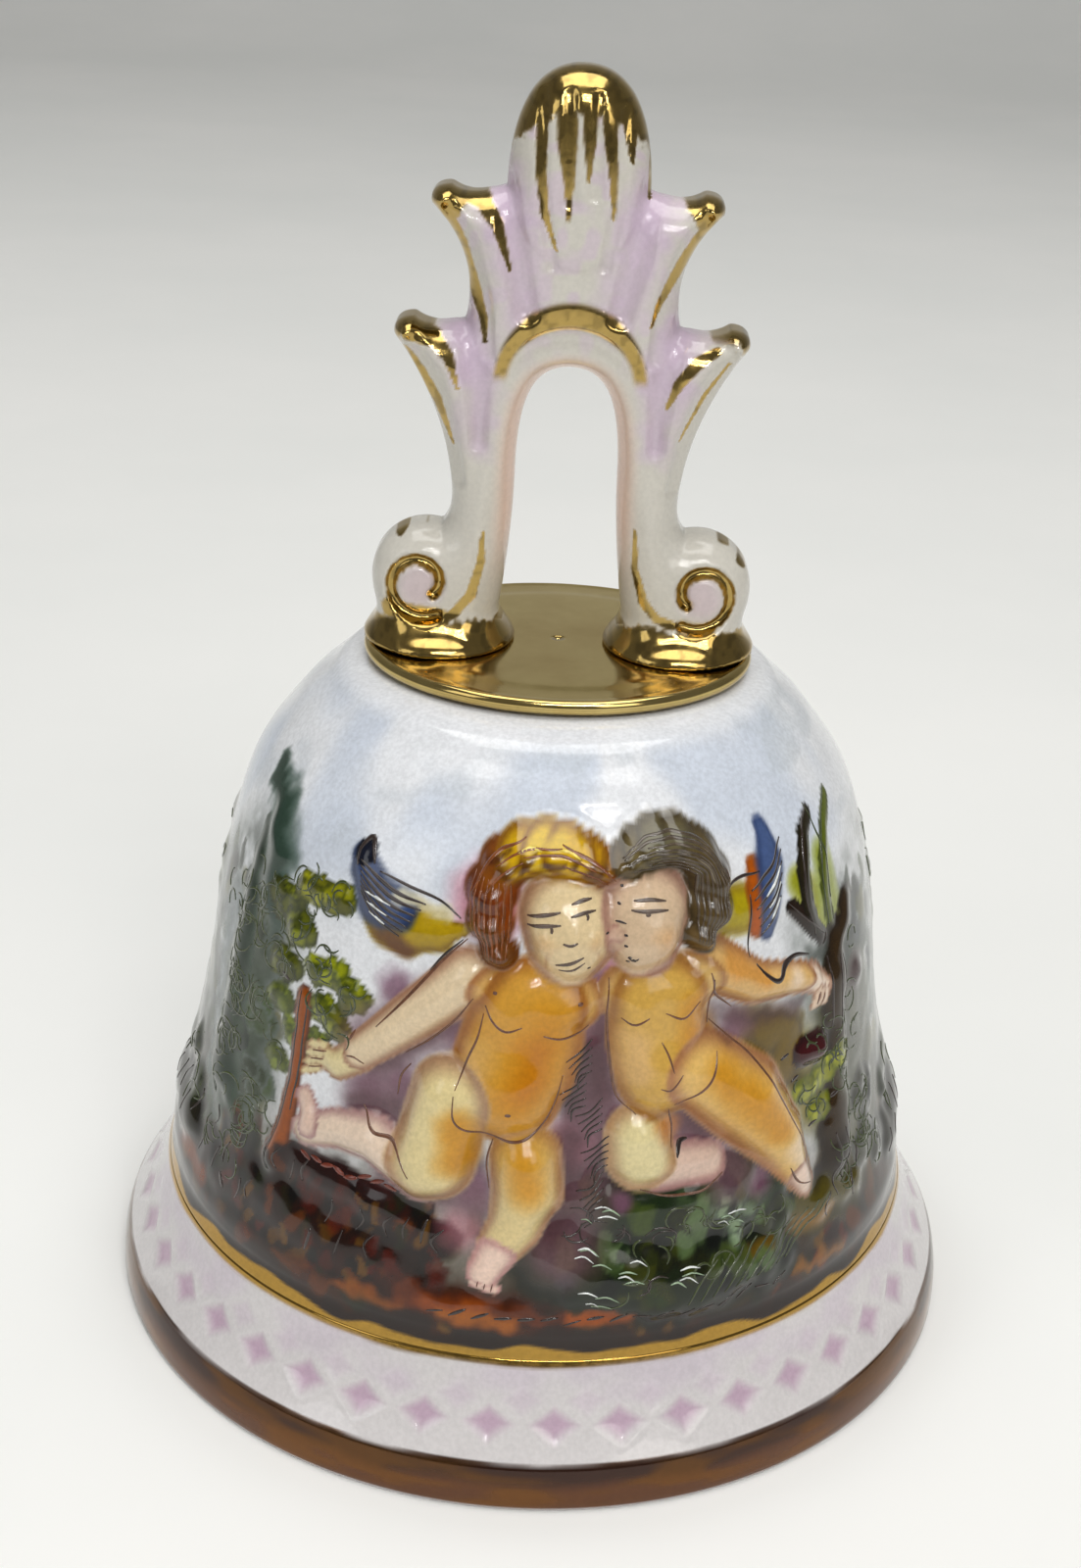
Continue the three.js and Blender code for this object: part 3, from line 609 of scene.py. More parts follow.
def lower_bush(s):
    s.form([(9.5, 24.0, 2.6), (20, 23.4, 3.6), (30, 23.4, 3.2), (37.5, 22.4, 2.6)], [1.5, 1.9, 1.8, 1.3],
           (70, 88, 54), (44, 54, 34), warp=1.6, soft=0.3)
    s.form([(24, 24.6, 1.8), (33, 24.8, 1.8)], [1.6, 1.6], (104, 118, 92), (64, 76, 58), warp=1.2, soft=0.3)
    s.form([(2.5, 20.0, 3.0), (14, 18.6, 3.8), (24, 17.8, 3.8), (36, 17.4, 3.0)], [1.5, 2.0, 2.0, 1.4],
           (68, 80, 50), (42, 50, 34), warp=1.8, soft=0.3)
    foliage(s, [(22.5, 22.6), (18.5, 20.2), (24, 18.6), (38.5, 20.6), (16, 17.0)], 1.5, 2.1, (92, 98, 38),
            (52, 56, 28), lobes=5, seed=11)
    foliage(s, [(28, 23.2), (32.5, 22.8), (30, 20.4)], 1.2, 1.9, (148, 160, 140), (84, 96, 84), lobes=5,
        seed=12)
    s.wash([(33, 18.6, 1.0), (38, 18.4, 1.0)], (160, 136, 54), 0.8, soft=0.7)
    s.wash([(5, 18.5, 1.4)], (96, 104, 108), 0.7, soft=0.8)
    s.form([(8.2, 36.8, 1.9), (6.2, 34.4, 1.9), (8.4, 32.0, 1.9), (8.8, 27.4, 2.1)], [0.8, 0.9, 0.9, 0.9],
           (74, 82, 70), (96, 92, 92), warp=1.0, soft=0.3)
    s.wash([(6, 15.2, 0.9), (14, 15.2, 0.9)], (196, 132, 50), 0.8, soft=0.6)


def wings(s):
    s.form([(-13.6, 45.5, 0.6), (-18, 45.2, 1.6), (-23, 45.0, 2.2), (-26.5, 45.2, 2.2)],
        [0.8, 1.2, 1.2, 1.1], (206, 186, 48), (160, 134, 46), warp=0.4, soft=0.15)
    s.wash([(-23.0, 43.4, 1.3), (-27, 44.2, 1.6)], (140, 96, 42), 0.8, soft=0.8)
    s.form([(-25.0, 46.2, 1.5), (-29.5, 46.4, 1.9), (-33.0, 48.0, 1.3), (-34.6, 49.2, 0.9)],
        [1.2, 1.2, 1.1, 1.0], (112, 128, 160), (70, 84, 112), warp=0.4, soft=0.3, blend=0.8)
    s.wash([(-28, 44.8, 1.2), (-32, 46.6, 1.2)], (92, 108, 142), 0.7, soft=0.8)
    s.form([(-33.8, 49.4, 0.95)], [1.1], (54, 62, 84), (36, 40, 58))
    s.wash([(-25, 47.2, 0.8), (-16, 46.6, 0.7)], (226, 222, 204), 0.8, soft=0.6)
    s.form([(30.5, 46.4, 1.6), (35.0, 46.2, 1.9)], [0.8, 1.0], (206, 194, 70), (176, 156, 72), warp=0.4,
        soft=0.3, blend=0.6)
    s.form([(38.2, 44.4, 0.8), (39.0, 47.0, 0.9), (39.4, 49.2, 0.6)], [0.8, 1.0, 0.8], (206, 140, 52),
        (170, 118, 62), warp=0.5, soft=0.3, blend=0.6)
    s.form([(40.4, 44.0, 0.8), (42.0, 46.8, 1.3), (43.2, 49.0, 1.3), (44.0, 51.2, 0.7)],
        [0.8, 1.0, 1.0, 0.6], (124, 140, 172), (84, 100, 136), warp=0.5, soft=0.3, blend=0.6)
    s.wash([(42.0, 45.6, 0.9), (42.8, 47.6, 0.7)], (206, 208, 208), 0.7, soft=1.0)


# Painted shadows: pink, lilac and mauve washes round the figures, between the heads and under the arms, laid
# where the relief would shade the ground.
def painted_shadows(s):
    for place, strength in (((-9.5, 47.8, 4.2), 0.85), ((9.6, 43.4, 2.8), 0.8), ((9.0, 39.0, 2.4), 0.55),
            ((5.8, 29.4, 3.0), 0.85), ((11.5, 49.4, 1.8), 0.6), ((-10, 21.6, 2.6), 0.5)):
        s.wash([place], SHADOW_PINK, strength, soft=0.75)
    for place in ((-21, 32.5, 2.6), (-27, 31.4, 2.6), (-24, 40.2, 2.2), (33, 37.4, 2.4), (12.5, 37, 2.4),
            (26, 29.4, 2.6), (-12, 37.4, 2.2), (-9, 25.4, 2.6), (13, 24.8, 1.4), (36, 24.0, 2.2)):
        s.wash([place], SHADOW_LILAC, 0.85, soft=0.8)
    for path, half in (([(-27, 35.0), (-16, 38.5)], 4.6), ([(-26, 30.0), (-14, 31.0)], 4.6),
            ([(-22, 25.4), (-8, 24.0)], 2.2), ([(7, 42.0), (8, 32.0)], 3.8), ([(7, 29.0), (4, 21.0)], 4.6),
            ([(26, 30.0), (30, 26.0)], 4.0), ([(12, 33.0), (22, 30.0)], 3.6)):
        s.wash([(*place, half) for place in path], (158, 134, 142), 0.75, soft=0.8)
    for path in ([(-12, 40.0, 1.8), (-20, 36.0, 1.8), (-26, 33.6, 1.6)],
            [(-22, 30.2, 1.7), (-30, 29.6, 1.5)], [(-10.4, 33, 1.6), (-9.4, 27, 1.8)],
            [(4.8, 29.5, 1.9), (3.4, 22.5, 2.0)], [(-14, 24.2, 1.6), (-22, 24.8, 1.4)],
            [(9.6, 41.0, 1.6), (9.6, 34.0, 1.9)], [(29, 39.0, 1.8), (38, 37.6, 1.8), (46, 37.0, 1.4)],
            [(22.6, 31.4, 1.8), (28.6, 28.4, 1.8)]):
        s.wash(path, SHADOW_MAUVE, 0.6, soft=0.9)


def left_putto(s):
    s.form([(-28.5, 34.0, 1.4), (-33.0, 32.4, 1.35), (-37.4, 32.8, 0.9)], [1.2, 1.2, 0.8], SKIN, SKIN_SHADE_EDGE)
    s.form([(-17.0, 25.6, 2.2), (-25.0, 27.6, 2.1), (-31.5, 27.2, 1.7), (-37.6, 25.9, 1.35)],
        [2.4, 2.1, 1.7, 1.5], (234, 222, 210), (186, 158, 160), turn=0.5)
    s.form([(-36.6, 26.8, 1.2), (-38.4, 28.6, 0.9)], [1.4, 1.0], (230, 214, 204), (184, 156, 158))
    s.form([(-11.5, 42.3, 2.3), (-21, 37.9, 1.95), (-28.8, 34.2, 1.5)], [2.0, 1.8, 1.4], (234, 222, 202),
        SKIN_SHADE_EDGE)
    s.form([(-6.4, 41.3, 2.4), (4.8, 40.9, 2.4)], [2.0, 2.1], (226, 200, 154), (186, 146, 118), blend=0.7,
        turn=0.6)
    s.form([(-0.9, 40.6, 3.8), (-2.6, 38.0, 4.5), (-3.7, 35.6, 4.6), (-4.5, 33.4, 4.1)],
        [2.1, 2.3, 2.5, 2.5], (226, 192, 122), (182, 138, 96), blend=0.7, flat=1.25, turn=0.62)
    for swell, rise in (((-4.4, 33.9, 3.4), 0.5), ((-5.2, 39.9, 2.2), 0.28), ((3.0, 39.9, 2.2), 0.28)):
        s.add_height([swell], rise)
    s.wash([(1.6, 39.6, 3.2), (-0.6, 35.8, 3.4), (-3.0, 33.4, 3.0)], ORANGE, 0.8, soft=1.0)
    s.wash([(-0.4, 37.4, 2.4), (-1.6, 34.8, 2.4)], DEEP_ORANGE, 0.5, soft=1.0)
    s.wash([(-8.6, 37.0, 1.8), (-9.4, 34.4, 1.5)], (232, 206, 160), 0.7, soft=0.9)
    s.form([(-13.0, 32.8, 3.2), (-15.2, 27.2, 3.4)], [2.9, 3.2], (234, 224, 192), (190, 160, 140), blend=0.5)
    s.wash([(-11.0, 31.0, 2.4), (-10.8, 28.2, 2.2)], (224, 182, 82), 0.85, soft=0.85)
    s.form([(-1.2, 28.2, 2.75), (-0.7, 25.6, 2.75), (-2.2, 22.8, 2.1), (-4.6, 20.6, 1.65)],
        [2.9, 2.9, 2.4, 1.9], (234, 222, 188), (188, 154, 134), blend=0.5, turn=0.55)
    s.wash([(-1.4, 29.0, 3.2), (-0.6, 26.6, 2.7)], ORANGE, 0.85, soft=1.0, warp=0.3)
    s.form([(-4.8, 20.2, 1.6), (-6.4, 18.6, 1.35)], [1.8, 1.7], (240, 224, 214), (204, 168, 168), blend=0.3)
    for toe in range(4):
        s.form([(-7.6 + 1.0 * toe, 17.8 - 0.15 * toe, 0.42)], [1.6], (240, 222, 212), (204, 168, 168),
            blend=0.15)
    for finger in range(4):
        s.form([(-35.6 - 0.4 * finger, 33.6 - 0.75 * finger, 0.42),
            (-38.4 - 0.3 * finger, 33.2 - 0.85 * finger, 0.34)], [1.1, 0.9], SKIN, SKIN_SHADE_EDGE, blend=0.12)


def hair_lobes(s, lobes, lean, top, edge):
    """Locks of hair as overlapping rounded lobes of (degrees, height, half width, tone)."""
    for degrees, height, half, tone in lobes:
        s.form([(degrees, height, half), (degrees + lean, height - 0.2, half * 0.95)], [2.9, top], tone,
            edge, blend=0.5, turn=0.6, soft=0.14)


def left_head(s):
    s.form([(4.0, 47.4, 3.7), (4.3, 46.0, 3.45)], [3.0, 3.0], (230, 218, 192), (190, 158, 138), blend=0.4,
        flat=1.25, turn=0.6)
    s.form([(4.6, 44.5, 2.0)], [2.7], (230, 216, 192), (200, 172, 148), blend=0.9, turn=0.8)
    s.wash([(4.1, 47.2, 3.3), (4.5, 45.2, 2.4)], (232, 219, 194), 0.9, soft=0.6, warp=0.0)
    for cheek in ((0.2, 46.0, 1.2), (8.4, 46.4, 1.1)):
        s.add_height([cheek], 0.28)
        s.wash([cheek], (224, 190, 150), 0.35, soft=1.0)
    for socket in ((0.2, 47.2, 1.1), (7.2, 47.8, 1.0)):
        s.add_height([socket], -0.22)
    s.add_height([(4.7, 47.6, 0.55), (4.3, 46.0, 0.75)], 0.5)
    s.add_height([(4.2, 44.4, 1.0)], 0.16)
    s.add_height([(2.6, 44.2, 0.35), (6.0, 44.6, 0.35)], -0.16)
    hair_lobes(s, ((-7.6, 44.8, 1.25, (150, 112, 66)), (-9.6, 46.8, 1.6, (142, 108, 62)),
        (-9.8, 49.0, 1.8, (150, 98, 40)), (-8.0, 50.8, 1.7, (176, 128, 44)),
        (9.6, 50.9, 1.25, (168, 116, 46)), (6.4, 51.5, 1.5, (216, 184, 70)),
        (-4.6, 51.7, 1.75, (226, 200, 78)), (-0.4, 52.0, 1.75, (236, 214, 98)),
        (3.2, 51.9, 1.65, (230, 204, 84))), 1.2, 3.1, (146, 100, 42))
    for spot in ((-6.4, 50.8, 0.9), (-3.4, 51.2, 0.6), (0.6, 51.0, 0.8), (4.2, 51.4, 0.6), (7.6, 50.8, 0.9),
            (11.0, 50.4, 0.7), (-9.2, 51.2, 0.8), (-10.6, 48.4, 0.9)):
        s.wash([spot, (spot[0] + 1.6, spot[1] + 0.5, 0.4 * spot[2])], (104, 58, 20), 0.75, soft=1.0,
            warp=1.2)
    # Pale yellow on the crown of the hair: painted highlight.
    s.wash([(-2.4, 52.4, 0.8), (2.2, 52.6, 0.8)], (232, 212, 110), 0.8, soft=1.0)
    s.wash([(-6.2, 48.9, 0.9), (-6.0, 46.9, 0.8)], (190, 124, 50), 0.7, soft=1.0)


def right_putto(s):
    s.form([(18.8, 27.3, 2.0), (27.2, 26.9, 1.5)], [1.9, 1.4], (230, 214, 204), (186, 156, 156))
    s.form([(15.6, 30.0, 2.6), (16.0, 28.2, 2.7)], [2.4, 2.5], (234, 226, 196), (194, 164, 138), blend=0.5)
    s.wash([(20.0, 30.4, 1.8)], (226, 178, 116), 0.75, soft=0.9)
    s.form([(46.6, 39.3, 1.35), (50.0, 38.7, 1.35), (52.4, 37.6, 1.0)], [1.6, 1.6, 1.2], (240, 228, 216),
        SKIN_SHADE_EDGE)
    for finger in range(3):
        s.form([(51.2 + 0.8 * finger, 37.6 - 0.2 * finger, 0.45), (50.2 + 1.2 * finger, 36.2, 0.38)],
            [1.5, 1.2], (236, 222, 208), SKIN_SHADE_EDGE, blend=0.12)
    s.form([(28.0, 42.9, 2.25), (36.5, 40.4, 1.8), (46.8, 39.3, 1.35)], [2.2, 1.9, 1.5], (232, 208, 166),
        SKIN_SHADE_EDGE)
    s.wash([(31, 43.0, 1.4), (38, 40.8, 1.2)], (226, 180, 112), 0.6, soft=0.9)
    s.wash([(45, 39.6, 1.4)], (242, 232, 222), 0.7, soft=0.9)
    s.form([(14.0, 41.5, 2.4), (24.2, 41.8, 2.5)], [2.0, 2.1], (226, 204, 160), (186, 150, 120), blend=0.7,
        turn=0.6)
    s.form([(18.6, 40.8, 3.7), (18.9, 38.0, 4.0), (19.6, 34.9, 3.7)], [2.1, 2.3, 2.4], (226, 200, 140),
           (180, 142, 102), blend=0.7, flat=1.25, turn=0.62)
    for swell, rise in (((19.6, 35.2, 3.0), 0.35), ((15.4, 40.0, 1.9), 0.25), ((22.6, 40.2, 2.0), 0.25)):
        s.add_height([swell], rise)
    s.wash([(24.0, 40.2, 2.4), (24.6, 36.6, 2.8)], ORANGE, 0.85, soft=0.9)
    s.wash([(25.6, 37.4, 1.6)], DEEP_ORANGE, 0.5, soft=0.9)
    s.wash([(14.2, 38.2, 1.9), (14.6, 35.4, 1.7)], (230, 206, 168), 0.75, soft=0.9)
    s.form([(25.4, 34.8, 3.2), (33.8, 31.2, 3.7), (40.4, 26.8, 2.7), (44.0, 23.0, 1.6)],
        [2.7, 3.2, 2.7, 1.8], (236, 212, 162), (188, 148, 124), blend=0.5)
    s.wash([(28, 34.6, 2.4), (33.6, 31.4, 3.0), (38.0, 28.6, 2.2)], ORANGE, 0.8, soft=0.9)
    s.wash([(41.6, 26.4, 1.6), (43.6, 23.6, 1.4)], (240, 226, 206), 0.85, soft=0.9)
    s.form([(43.8, 23.2, 1.4), (45.4, 21.8, 1.2)], [1.8, 1.5], (238, 224, 214), SKIN_SHADE_EDGE)
    # Painted shadow under the arm.
    s.wash([(27.5, 38.4, 1.0), (31, 36.4, 0.8)], SHADOW_MAUVE, 0.35, soft=0.9)


def right_head(s):
    s.form([(17.0, 47.7, 3.55), (16.6, 46.2, 3.2)], [2.9, 2.9], (222, 206, 188), (186, 156, 146), blend=0.4,
        flat=1.25, turn=0.6)
    s.form([(14.8, 44.7, 1.6)], [2.4], (222, 206, 186), (198, 170, 154), blend=0.8, turn=0.8)
    s.form([(11.2, 46.5, 0.7)], [2.1], (220, 200, 186), (188, 154, 146), blend=0.5)
    s.wash([(16.6, 47.4, 3.0), (15.6, 45.4, 2.1)], (224, 209, 190), 0.9, soft=0.6, warp=0.0)
    s.add_height([(12.3, 45.1, 0.6)], 0.35)
    s.add_height([(19.6, 45.8, 1.3)], 0.25)
    s.wash([(19.4, 46.2, 1.6)], (224, 190, 148), 0.4, soft=1.0)
    s.add_height([(17.4, 48.0, 1.0)], -0.2)
    hair_lobes(s, ((25.6, 45.6, 1.3, (146, 130, 100)), (28.2, 47.4, 1.9, (136, 122, 92)),
        (28.8, 49.6, 1.9, (132, 118, 90)), (13.6, 51.3, 1.1, (142, 128, 98)),
        (16.6, 51.9, 1.4, (148, 138, 108)), (20.2, 52.2, 1.65, (152, 144, 116)),
        (24.2, 51.9, 1.8, (148, 138, 108)), (27.4, 51.1, 1.8, (138, 126, 96))), 0.8, 3.0, (98, 86, 64))
    s.wash([(18, 52.6, 0.9), (25, 52.5, 1.1)], (146, 146, 132), 0.6, soft=1.0)
    s.wash([(25.0, 48.2, 0.7)], (150, 136, 112), 0.7, soft=1.0)


def back_landscape(s):
    """Trees, bushes and rocks round the back, in the same hand as the front."""
    for degrees, tall, seed in ((96, 43, 21), (174, 44, 22), (264, 42, 23)):
        s.form([(degrees - 1, 20, 1.6), (degrees + 1, 28, 1.1), (degrees, tall - 7, 0.9)], [1.4, 1.3, 1.0],
               (164, 106, 44), (94, 60, 30), warp=0.7)
        spots = [(degrees - 9, tall - 3), (degrees - 3, tall), (degrees + 4, tall + 0.5),
            (degrees + 10, tall - 2.5), (degrees + 1, tall - 4.5), (degrees - 6, tall - 6.5),
            (degrees + 7, tall - 6)]
        foliage(s, spots, 1.9, 1.4, (134, 140, 54), (76, 86, 46), seed=seed)
    for degrees, seed in ((130, 31), (220, 32), (300, 33)):
        s.form([(degrees - 1.5, 47, 0.7), (degrees, 38, 2.0), (degrees, 26, 3.2)], [0.8, 1.2, 1.5],
            (76, 96, 78), (104, 122, 106), warp=1.4, soft=0.2)
        foliage(s, [(degrees - 3, 28), (degrees + 3, 30), (degrees, 34)], 1.6, 1.6, (84, 104, 78),
            (58, 74, 60), seed=seed)
    for degrees, seed in ((84, 41), (110, 42), (146, 43), (190, 44), (206, 45), (240, 46), (282, 47)):
        s.form([(degrees - 8, 18.4, 2.6), (degrees + 8, 18.8, 2.8)], [1.3, 1.5], (82, 78, 58), (58, 52, 46),
            warp=1.8, soft=0.25)
        foliage(s, [(degrees - 6, 22.4), (degrees + 1, 23.6), (degrees + 7, 21.8)], 1.7, 1.5, (98, 106, 62),
                (60, 66, 46), seed=seed)
    for degrees in (118, 160, 236, 290):
        s.wash([(degrees, 16.2, 1.4), (degrees + 10, 15.8, 1.4)], (176, 118, 48), 0.8, soft=0.7)


def gilded_line(s):
    """Hand-painted gold line where the body meets the foot, with a dark painted edge above it."""
    wave = body_noise(s.degrees, np.zeros_like(s.height), 40, 4)
    top = FOOT_HEIGHT + 0.75 + 1.3 * (wave - 0.5)
    edge = body_noise(s.degrees, np.zeros_like(s.height), 90, 6)
    dark_top = top + 0.8 + 1.7 * smoothstep(0.4, 0.8, edge)
    s.tint(1 - smoothstep(dark_top - 0.4, dark_top + 0.5, s.height), (30, 14, 6), 0.9)
    gold = 1 - smoothstep(top - 0.12, top + 0.12, s.height)
    s.tint(gold, FOOT_LINE_GOLD)
    s.gilt = np.maximum(s.gilt, gold)


WHITE_LIGHT = 0.84


def soften(grid, passes):
    """Evens a grid out with its neighbours, round the columns and along the rows."""
    for _ in range(passes):
        grid = 0.5 * grid + 0.25 * (np.roll(grid, 1, axis=1) + np.roll(grid, -1, axis=1))
        padded = np.vstack([grid[:1], grid, grid[-1:]])
        grid = 0.5 * grid + 0.25 * (padded[:-2] + padded[2:])
    return grid


def fire_colours(paint):
    """Deepens and enriches the enamels as firing does; the bare white stays as it is."""
    grey = paint.mean(axis=-1, keepdims=True)
    richer = np.clip(grey + (paint - grey) * 1.12, 0.001, 1)
    strength = 1 - richer.min(axis=-1, keepdims=True) / richer.max(axis=-1, keepdims=True)
    return WHITE_LIGHT * (richer / WHITE_LIGHT) ** 1.75 * (1 - 0.24 * strength)


def fade_relief(s):
    s.relief *= smoothstep(0.9, 3.6, s.height - FOOT_HEIGHT) * (1 - smoothstep(54.6, 57.0, s.height))
    grain = body_noise(s.degrees, s.height, 128, 1) - 0.5
    scene = smoothstep(14, 18, s.height) * (1 - smoothstep(30, 44, s.height))
    s.relief += 0.10 * grain * scene
    s.relief = soften(s.relief, 4)


def dabs(s, span, colours, count, seed, size=(0.6, 1.5), rise=0.0):
    """Loose brush dabs scattered over a span of (low degrees, high degrees, low height, high height)."""
    draw = np.random.default_rng(seed)
    for _ in range(count):
        degrees, height = draw.uniform(*span[:2]), draw.uniform(*span[2:])
        half = draw.uniform(*size)
        lean = draw.uniform(-1.6, 1.6)
        path = [(degrees, height, half), (degrees + lean, height + draw.uniform(0.4, 1.6), half * 0.7)]
        tone = colours[draw.integers(len(colours))]
        if rise:
            s.raise_form(path, [rise * draw.uniform(0.5, 1.0)], 0.35, 0.6)
        s.wash(path, tone, draw.uniform(0.6, 0.95), soft=0.5, warp=0.8)


FAR_TREES = [(70, 84, 66), (104, 118, 88), (128, 138, 130), (84, 92, 100), (138, 134, 84), (56, 62, 52)]
GROUND = [(58, 32, 18), (104, 58, 28), (144, 98, 38), (76, 78, 38), (42, 36, 24), (128, 66, 34),
    (150, 122, 62)]
HEDGE = [(52, 70, 40), (84, 102, 54), (120, 132, 80), (40, 48, 34), (108, 112, 46), (136, 152, 118)]


def scatter_dabs(s):
    dabs(s, (-76, -47, 20, 43), FAR_TREES, 90, 201, rise=0.55)
    dabs(s, (55, 78, 18, 44), FAR_TREES, 70, 202, rise=0.5)
    dabs(s, (78, 284, 20, 40), FAR_TREES, 260, 203, size=(0.9, 2.2), rise=0.5)
    dabs(s, (-64, -12, 13.4, 23), GROUND, 110, 204, rise=0.5)
    dabs(s, (38, 66, 13.4, 21), GROUND, 40, 205, rise=0.4)
    dabs(s, (66, 300, 13.4, 21), GROUND, 130, 206, size=(0.8, 1.8), rise=0.4)
    dabs(s, (-16, 38, 13.2, 15.4), GROUND, 34, 207, size=(0.5, 1.0))


def sculpt_body():
    s = Surface(body_columns(), body_heights())
    paint_sky(s)
    scatter_dabs(s)
    left_landscape(s)
    right_landscape(s)
    back_landscape(s)
    lower_bush(s)
    dabs(s, (3, 42, 15.5, 26), HEDGE, 60, 208, size=(0.5, 1.2), rise=1.6)
    painted_shadows(s)
    wings(s)
    left_putto(s)
    right_putto(s)
    left_head(s)
    right_head(s)
    fade_relief(s)
    s.paint = fire_colours(s.paint)
    gilded_line(s)
    return s


# ---------------------------------------------------------------- meshes
def link_object(name, mesh, material, node=None, body="bell"):
    piece = bpy.data.objects.new(name, mesh)
    bpy.context.scene.collection.objects.link(piece)
    mesh.materials.append(material)
    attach(piece, body)
    if node:
        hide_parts(*([node] if isinstance(node, str) else node))
    return piece


def smooth_mesh(name, points, faces):
    """A smooth-shaded mesh from places in millimetres."""
    mesh = bpy.data.meshes.new(name)
    mesh.from_pydata((points * MM).tolist(), [], faces)
    mesh.polygons.foreach_set("use_smooth", np.ones(len(mesh.polygons), bool))
    mesh.update()
    return mesh


def ring_mesh(name, points):
    """A mesh from a grid of points (rows, columns, 3) that closes round its columns and its rows."""
    rows, columns = points.shape[:2]
    lower = np.arange(rows * columns).reshape(rows, columns)
    upper = np.roll(lower, -1, axis=0)
    quads = np.stack([lower, np.roll(lower, -1, axis=1), np.roll(upper, -1, axis=1), upper], -1).reshape(-1,
        4)
    return smooth_mesh(name, points.reshape(-1, 3), quads.tolist())


def set_attributes(mesh, paint, gilt):
    colours = np.ones((len(mesh.vertices), 4), np.float32)
    colours[:, :3] = paint.reshape(-1, 3)
    mesh.color_attributes.new("paint", "FLOAT_COLOR", "POINT").data.foreach_set("color", colours.ravel())
    mesh.attributes.new("gilt", "FLOAT", "POINT").data.foreach_set("value", gilt.astype(np.float32).ravel())


def revolve(profile, degrees):
    """Grid of points from [radius, height] rows turned through the columns' angles."""
    return around(profile[:, :1], degrees, profile[:, 1:] + 0 * degrees)


def inner_side():
    """The inside of the wall, from the crown's socket down to the body's foot line."""
    tangent = np.gradient(SIDE, axis=0)
    tangent /= np.linalg.norm(tangent, axis=1)[:, None]
    offset = SIDE + WALL * np.stack([-tangent[:, 1], tangent[:, 0]], -1)
    underside = SHELL_TOP - CROWN_THICKNESS
    keep = offset[offset[:, 1] < underside - 0.8][::-1]
    corner = bezier2((keep[0, 0] - 2.6, underside), (keep[0, 0] - 0.6, underside), keep[0], 6)[:-1]
    socket = np.array([(SOCKET_RADIUS, SHELL_TOP), (SOCKET_RADIUS, underside)])
    return np.vstack([socket, corner, keep[::16], keep[-1:]])


def bell_body(surface):
    outer = around(surface.radius + surface.relief, surface.degrees, surface.height)
    inner = revolve(inner_side(), surface.columns)
    mesh = ring_mesh("bell_body", np.concatenate([outer, inner]))
    white = np.empty(inner.shape)
    white[:] = srgb(232, 231, 230)
    paint = np.concatenate([surface.paint, white])
    gilt = np.concatenate([surface.gilt, np.zeros(inner.shape[:2])])
    set_attributes(mesh, paint, gilt)
    return link_object("bell_body", mesh, painted_porcelain("painted_porcelain"), "bell_shell")


LATTICE_CELLS = 42
LATTICE_HEIGHT = 6.75
LATTICE_HALF = 1.7
FOOT_COLUMNS = LATTICE_CELLS * 16
FLARE_ROWS = 44
INSIDE_ROWS = 4
FOOT_LINE_GOLD = (176, 138, 62)


